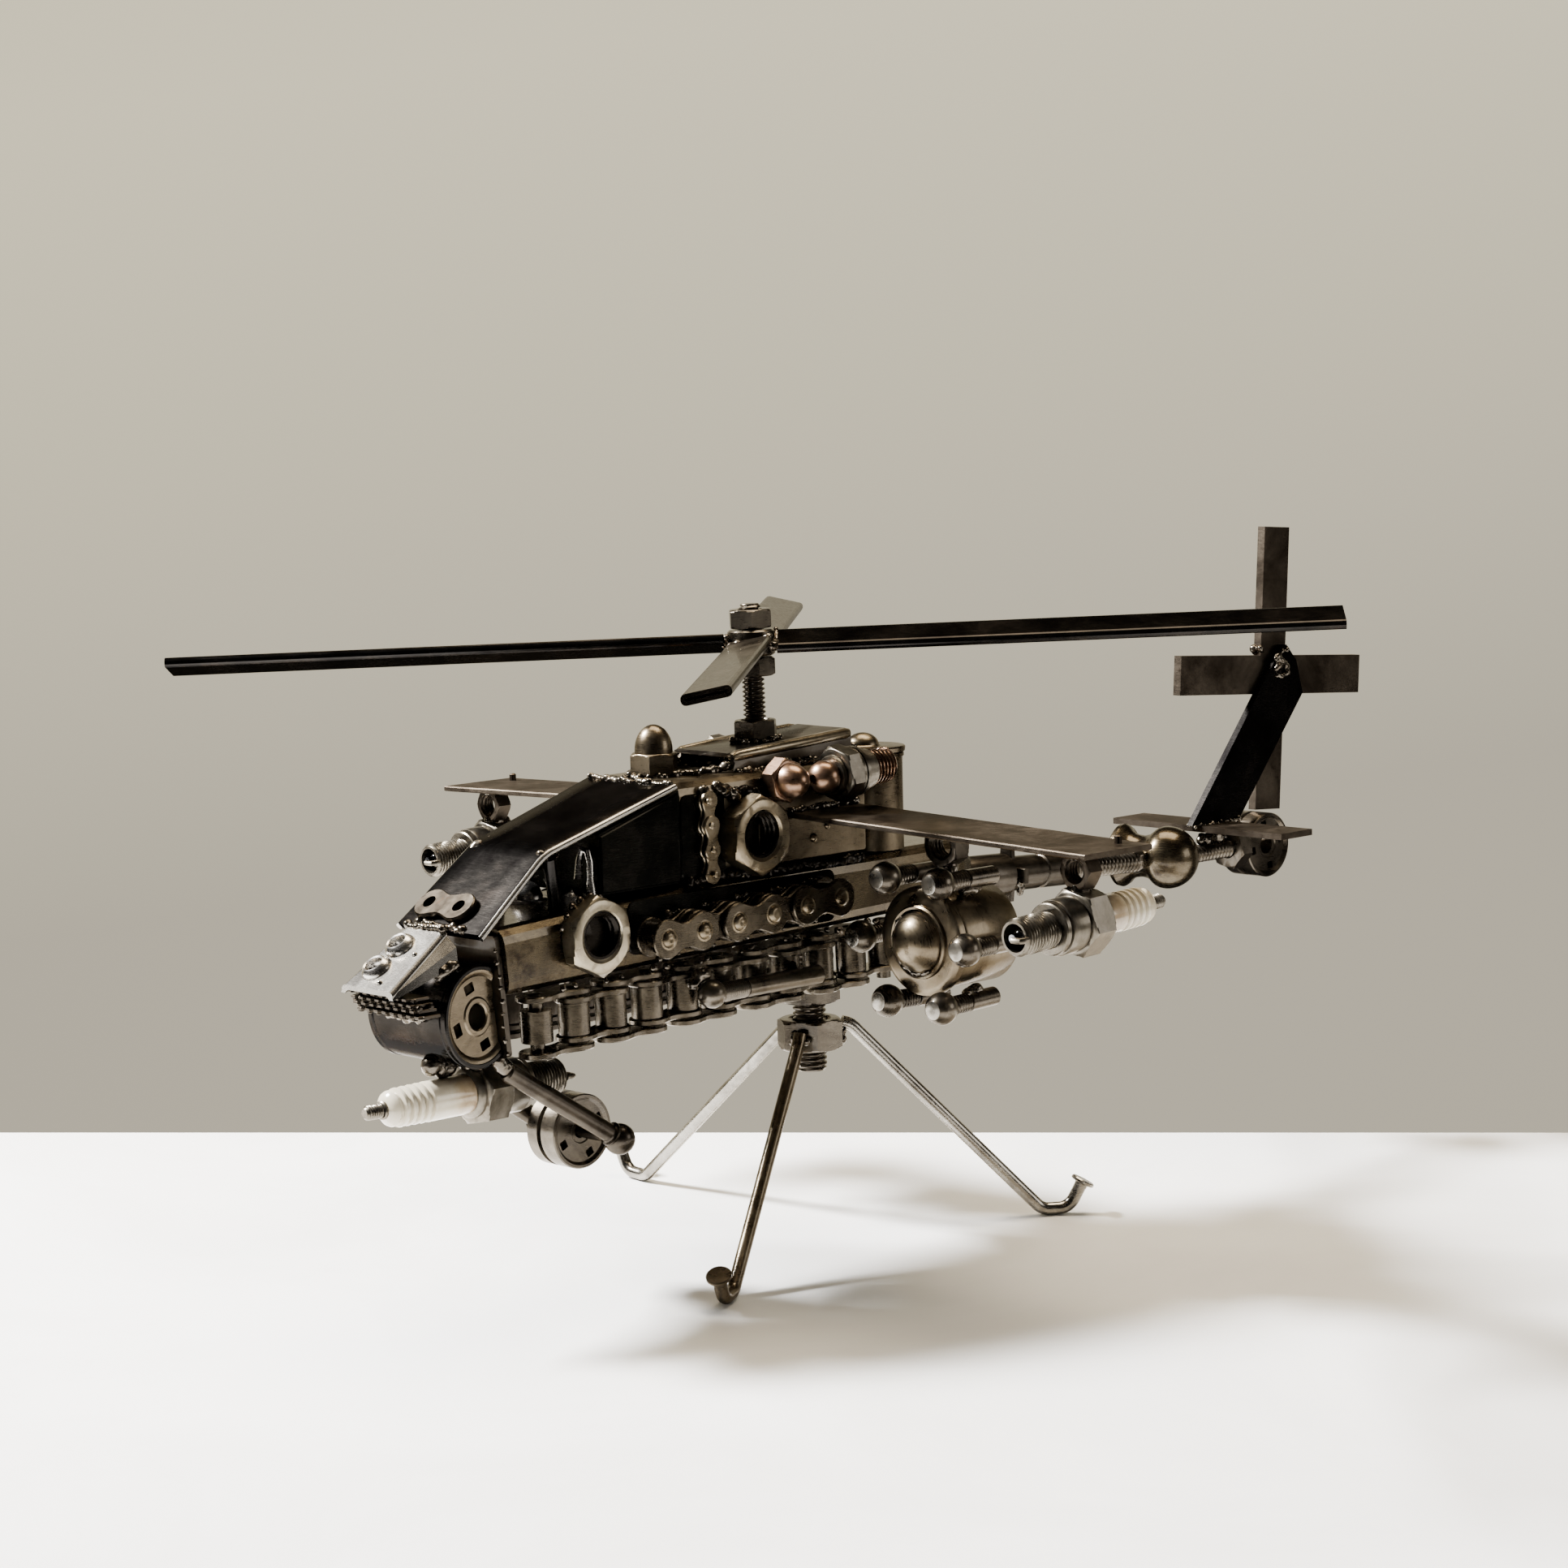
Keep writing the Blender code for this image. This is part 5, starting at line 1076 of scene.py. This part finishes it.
def tail():
    place = at(-69.3, 0, -74.8, turn(0, -92.5, 0))
    shape = Shape()
    shape.lathe([(0, 6.2), (0.3, 6.4), (29.6, 6.4), (30, 6), (30.2, 5.2), (43.6, 5.1), (43.9, 4.6), (45.6, 4.6),
                 (45.9, 5.1), (57.4, 5.1), (57.9, 4.7), (58, 3)], place, seg=32)
    outline = [(-2.2, -8), (2.2, -8), (2.6, -2.6), (8, -2.2), (8, 2.2), (2.6, 2.6), (2.2, 8), (-2.2, 8),
               (-2.6, 2.6), (-8, 2.2), (-8, -2.2), (-2.6, -2.6)]
    shape.plate(outline, 31, 33, place, 0.3)
    piece("tail_boom", shape, DARK, "tail_sleeve")
    shape = Shape().thread(57, 90, 3.7, 1.7, place, deep=0.6)
    piece("tail_stud_front", shape, STEEL)

    place = at(-169.5, 0, -78.8, turn(-90, 0, 15))
    profile = [(-13.5, 7.6), (-13.2, 8.8), (-12.4, 9.6), (-11.2, 9.75), (-10, 9), (-8.6, 7.4), (-7, 6.7),
               (-4.5, 6.4), (-2.2, 6.9), (-0.6, 8), (0.6, 9), (2, 9.55)]
    profile += [(3.4 + 9.7 * sin(radians(a)), max(9.7 * cos(radians(a)), 0.04))
                for a in range(0, 91, 9)]
    shape = Shape().lathe(profile, place, seg=44)
    piece("tail_knob_spool", shape, TUBE, "tail_knob")

    shape = Shape()
    place = at(-183, 0, -79.8, axes((0, 0, -1), (0, -1, 0), (-1, 0, 0)))
    shape.thread(0, 25, 3, 1.6, place, deep=0.5)
    shape.nut(12, 5.2, 2.4, 1.25, place @ at(0, 0, 19.8, turn(0, 0, 12)))
    piece("tail_stud_rear", shape, STEEL, "tail_rod")

    shape = wheel_shape(at(-218.8, -2, -80.2, turn(-90)), 10.2, 6, 2.9, (-0.6,), 4, 12)
    piece("tail_pulley", shape, STEEL, "tail_roller", sharp=30)
    dress("tail_plane", SHEET, 0.35)
    dress("tail_fin", BLACK, 0.3)
    dress("tail_rotor", SHEET, 0.35)

    spots = collar((-70, 0, -74.8), 6.6, "X", 1.2, 16)
    spots += beads(1, (-158, 0, -78.6, -161, 0, -78.6, 3.4, 5, 0.8),
                   (-180.5, 0, -79.6, -184, 0, -79.8, 2.8, 4, 0.6),
                   (-207.6, -1, -80, -209.8, -2, -80.2, 2.6, 4, 0.7),
                   (-190, 0, -75.4, -200, 0, -75.4, 1.7, 7, 0.7))
    for side in (1, -1):
        spots += beads(side, (-186, 1.6, -70.9, -207, 1.6, -70.9, 0.8, 11, 0.4),
                       (-101, 5.8, -77, -101.6, 5.2, -81, 1, 4, 0.4))
    weld("tail_weld", spots)
    spots = collar((TAIL_HUB_X, 1.6, TAIL_HUB_Z), 2.6, "Y", 1.1, 9, wobble=0.5)
    spots += beads(1, (-226.5, 1.4, -22, -231.6, 1.2, -19, 1.1, 5, 0.5))
    weld("fin_weld", spots)
    spots = []
    for k in range(4):
        angle = radians(45 + 90 * k + 4)
        spots += [(TAIL_HUB_X + r * cos(angle), -1.9 - draw(0, 0.3), TAIL_HUB_Z + r * sin(angle),
                   draw(0.9, 1.35)) for r in (8, 9)]
        spots += [(TAIL_HUB_X + r * cos(angle), -4.7, TAIL_HUB_Z + r * sin(angle), draw(1, 1.5))
                  for r in (5, 7.4, 8.8)]
    weld("tail_rotor_weld", spots, body="tail_rotor")
    shape = Shape()
    shape.lathe([(0, 3.6), (0.5, 4.2), (1, 4.2)], at(TAIL_HUB_X, -5, TAIL_HUB_Z, turn(90)), seg=24)
    piece("tail_rotor_cap", shape, STEEL, body="tail_rotor")


# ---- front gear and stand

def gear():
    shape = Shape()
    centre = Vector((AXLE_X, 0, AXLE_Z))
    shape.lathe([(-16.6, 1), (-16.4, 1.6), (16.4, 1.6), (16.6, 1)], at(*centre, turn(90)), seg=20)
    spots = []
    for side in (1, -1):
        end = Vector((AXLE_X, side * 15.5, AXLE_Z))
        root = Vector((102.6, side * 13.3, -102.2))
        direction = (root - end).normalized()
        shape.bar([end, end.lerp(root, 0.25), end.lerp(root, 0.6), root - direction * 0.6, root],
                  [2.5, 2.5, 2.55, 2.55, 2], direction.cross(Vector((0, 1, 0.2))).normalized(), seg=22)
        aim = direction.to_track_quat("Z", "Y").to_matrix().to_4x4()
        shape.ball(4.2, at(*end, aim), seg=26, rows=14, low=-90, high=52)
        shape.lathe([(2.7, 3.1), (3.3, 3.3), (3.6, 3.3), (3.9, 2.7), (4.3, 2.5)], at(*end, aim), seg=24)
        spots += [(end.x + 1, end.y - side * 4.2, end.z + 0.6, 1.3), (end.x, end.y - side * 3.6, end.z - 1, 1.2)]
    piece("gear_struts", shape, DARK, "gear_fork")
    weld("gear_weld", spots)
    shape = wheel_shape(at(AXLE_X, -5, AXLE_Z, turn(-90)), 10.1, 5.7, 1.95, (-0.6,), 4, 25)
    piece("gear_wheel", shape, STEEL, "front_wheel", sharp=30, body="front_wheel")


def stand():
    shape = Shape()
    shape.thread(-122.2, -79.4, 4.72, 1.5, at(STUD_X, 0, 0))
    shape.nut(15.8, 7.4, 4.2, 1.5, at(STUD_X, 0, -102.6, turn(0, 0, 30)))
    piece("belly_bolt_and_nut", shape, STEEL, "stand_bolt")
    spots = []
    for side in (1, -1):
        spots += beads(side, (-24, 8.4, -96.6, -13, 8.4, -96.9, 1.3, 6, 0.5))
    spots += beads(1, (-11.5, 6, -95.6, -8, 7, -95.4, 1.6, 4, 0.5))
    weld("belly_weld", spots)

    shape = Shape().nut(16.6, 8.6, 5.05, 1.5, AIR @ at(STUD_X, 0, -116, turn(0, 0, 29)))
    piece("tripod_hub", shape, STEEL, "tripod_nut", IDENTITY, body="stand")
    spots = []
    legs = {"leg_starboard": (-90, 73.5, False), "leg_front": (29, 73.8, False), "leg_rear": (148, 72, True)}
    radius = 1.85
    low = radius
    for name, (compass, reach, bent) in legs.items():
        turn_to = radians(compass)
        height = NUT_CENTRE.z
        if bent:
            flat = [(9.2, height + 2.8), (10.6, height + 2.45), (11.8, height + 1.9), (12.9, height + 1),
                    (13.6, height + 0.2)]
        else:
            flat = [(9.4, height + 1.6), (10.8, height - 0.8)]
        slope = degrees(atan2(flat[-1][1] - low, reach - flat[-1][0]))
        for step in range(17):
            angle = radians(-90 - slope + step * (slope + 62) / 16)
            shift = 1.5 if degrees(angle) >= -90 else -1.5
            flat.append((reach + shift + 5 * cos(angle), low + 5 * (1 + sin(angle))))
        lift = radians(62)
        end_x, end_z = flat[-1]
        for length in (1.5, 3.8, 4.9, 5.05, 5.3, 5.9, 6.2):
            flat.append((end_x + length * cos(lift), end_z + length * sin(lift)))
        radii = [radius] * (len(flat) - 5) + [2, 3.2, 3.5, 3.5, 3.2]
        path = [(NUT_CENTRE.x + r * cos(turn_to), NUT_CENTRE.y + r * sin(turn_to), z) for r, z in flat]
        shape = Shape().bar(path, radii, (-sin(turn_to), cos(turn_to), 0), seg=20)
        piece(f"nail_{name}", shape, BRONZE if name == "leg_front" else NAIL, name, IDENTITY, body="stand")
        out = Vector((cos(turn_to), sin(turn_to), 0))
        wide = Vector((-sin(turn_to), cos(turn_to), 0))
        for k in range(6):
            point = NUT_CENTRE + out * (8.7 + draw(0, 0.9)) + wide * draw(-2.6, 2.6)
            spots.append((point.x, point.y, NUT_CENTRE.z + draw(-3, 2.2) - (0 if bent else 0.5),
                          draw(0.9, 1.5)))
    weld("tripod_weld", spots, place=IDENTITY, body="stand")


# ---- studio

VIEW = Vector((-0.6916, -0.7223, 0))
RIGHT = Vector((-0.7223, 0.6916, 0))
EYE = Vector((0.75449, 0.72835, 0.2881))


def studio():
    camera = bpy.data.cameras.new("camera")
    camera.lens = 84.3
    camera.sensor_width = 36
    camera.clip_start = 0.02
    camera.clip_end = 30
    eye = bpy.data.objects.new("camera", camera)
    bpy.context.collection.objects.link(eye)
    pitch = radians(9)
    aim = VIEW * cos(pitch) - Vector((0, 0, sin(pitch)))
    eye.location = EYE
    eye.rotation_euler = aim.to_track_quat("-Z", "Y").to_euler()
    bpy.context.scene.camera = eye

    material, tree, shader, place = nodes_of("white table")
    cloud = cloud_of(tree, place, 7, 6, 0.6, 0.8)
    feed(tree, shader, {"Base Color": ramp(tree, cloud, [(0.3, (0.76, 0.75, 0.73)), (0.6, (0.86, 0.855, 0.845))]),
                        "Roughness": 0.42})
    far, near, wide = 1.12, 0.66, 0.62
    base = Vector((EYE.x, EYE.y, 0))
    corners = [base + VIEW * far - RIGHT * wide, base + VIEW * far + RIGHT * wide,
               base + VIEW * near + RIGHT * wide, base + VIEW * near - RIGHT * wide]
    slab(corners, -0.02, 0, "table", material)

    material, tree, shader, place = nodes_of("glowing backdrop with painted falloff")
    # The backdrop glows, brighter towards the top and towards the left: painted light falloff, with a faint random
    # cloud.
    cloud = cloud_of(tree, place, 1.2, 2)
    spread = linked(tree, "ShaderNodeSeparateXYZ", {"Vector": place})
    painted_falloff = maths(tree, "MULTIPLY_ADD", cloud, 0.06, spread["Z"])
    painted_falloff = maths(tree, "MULTIPLY_ADD", spread["Y"], -0.09, painted_falloff)
    painted_falloff = maths(tree, "MULTIPLY_ADD", spread["X"], 0.09, painted_falloff)
    painted_falloff = ranged(tree, painted_falloff, -0.3, 0.5)
    colour = ramp(tree, painted_falloff, [(0, (0.365, 0.328, 0.25)), (1, (0.665, 0.602, 0.425))])
    feed(tree, shader, {"Emission Color": colour,
                        "Base Color": (0.05, 0.05, 0.05, 1), "Roughness": 0.9, "Emission Strength": 1.45})
    centre = base + VIEW * 3.6
    deep = VIEW * 0.05
    corners = [centre - RIGHT * 5, centre + RIGHT * 5, centre + RIGHT * 5 + deep, centre - RIGHT * 5 + deep]
    slab(corners, -1.2, 1.15, "backdrop", material)

    middle = Vector((0.03, 0.01, 0.09))
    key = middle - RIGHT * 1.08 + VIEW * 0.21 + Vector((0, 0, 1))
    lamp("key", key, middle, 0.26, 0.26, 200, (1, 0.99, 0.98))
    lamp("side", middle + RIGHT * 1.1 - VIEW * 0.25 + Vector((0, 0, 0.3)), middle, 0.5, 0.4, 3, (1, 0.95, 0.88))
    lamp("top", middle + VIEW * 0.35 + RIGHT * 0.1 + Vector((0, 0, 1.3)), middle, 1.1, 0.7, 34, (1, 0.84, 0.62))
    world = bpy.data.worlds.new("room")
    world.use_nodes = True
    back = world.node_tree.nodes["Background"]
    back.inputs["Color"].default_value = (0.55, 0.5, 0.45, 1)
    back.inputs["Strength"].default_value = 0.05
    bpy.context.scene.world = world


def slab(corners, low, high, name, material):
    points = [Vector((c.x, c.y, z)) for z in (low, high) for c in corners]
    faces = [(3, 2, 1, 0), (4, 5, 6, 7), (0, 1, 5, 4), (1, 2, 6, 5), (2, 3, 7, 6), (3, 0, 4, 7)]
    obj = mesh_object(name, points, faces)
    obj.data.materials.append(material)


def lamp(name, place, target, width, height, power, colour):
    light = bpy.data.lights.new(name, "AREA")
    light.shape = "RECTANGLE"
    light.size = width
    light.size_y = height
    light.energy = power
    light.color = colour
    obj = bpy.data.objects.new(name, light)
    bpy.context.collection.objects.link(obj)
    obj.location = place
    obj.rotation_euler = (target - place).to_track_quat("-Z", "Y").to_euler()


main_rotor()
roof()
cabin()
canopy()
nose()
chains()
wings()
plug("gun", AIR @ at(74.2, 0, -109.4, turn(0, 90, 0)), 7)
tail()
gear()
stand()
studio()
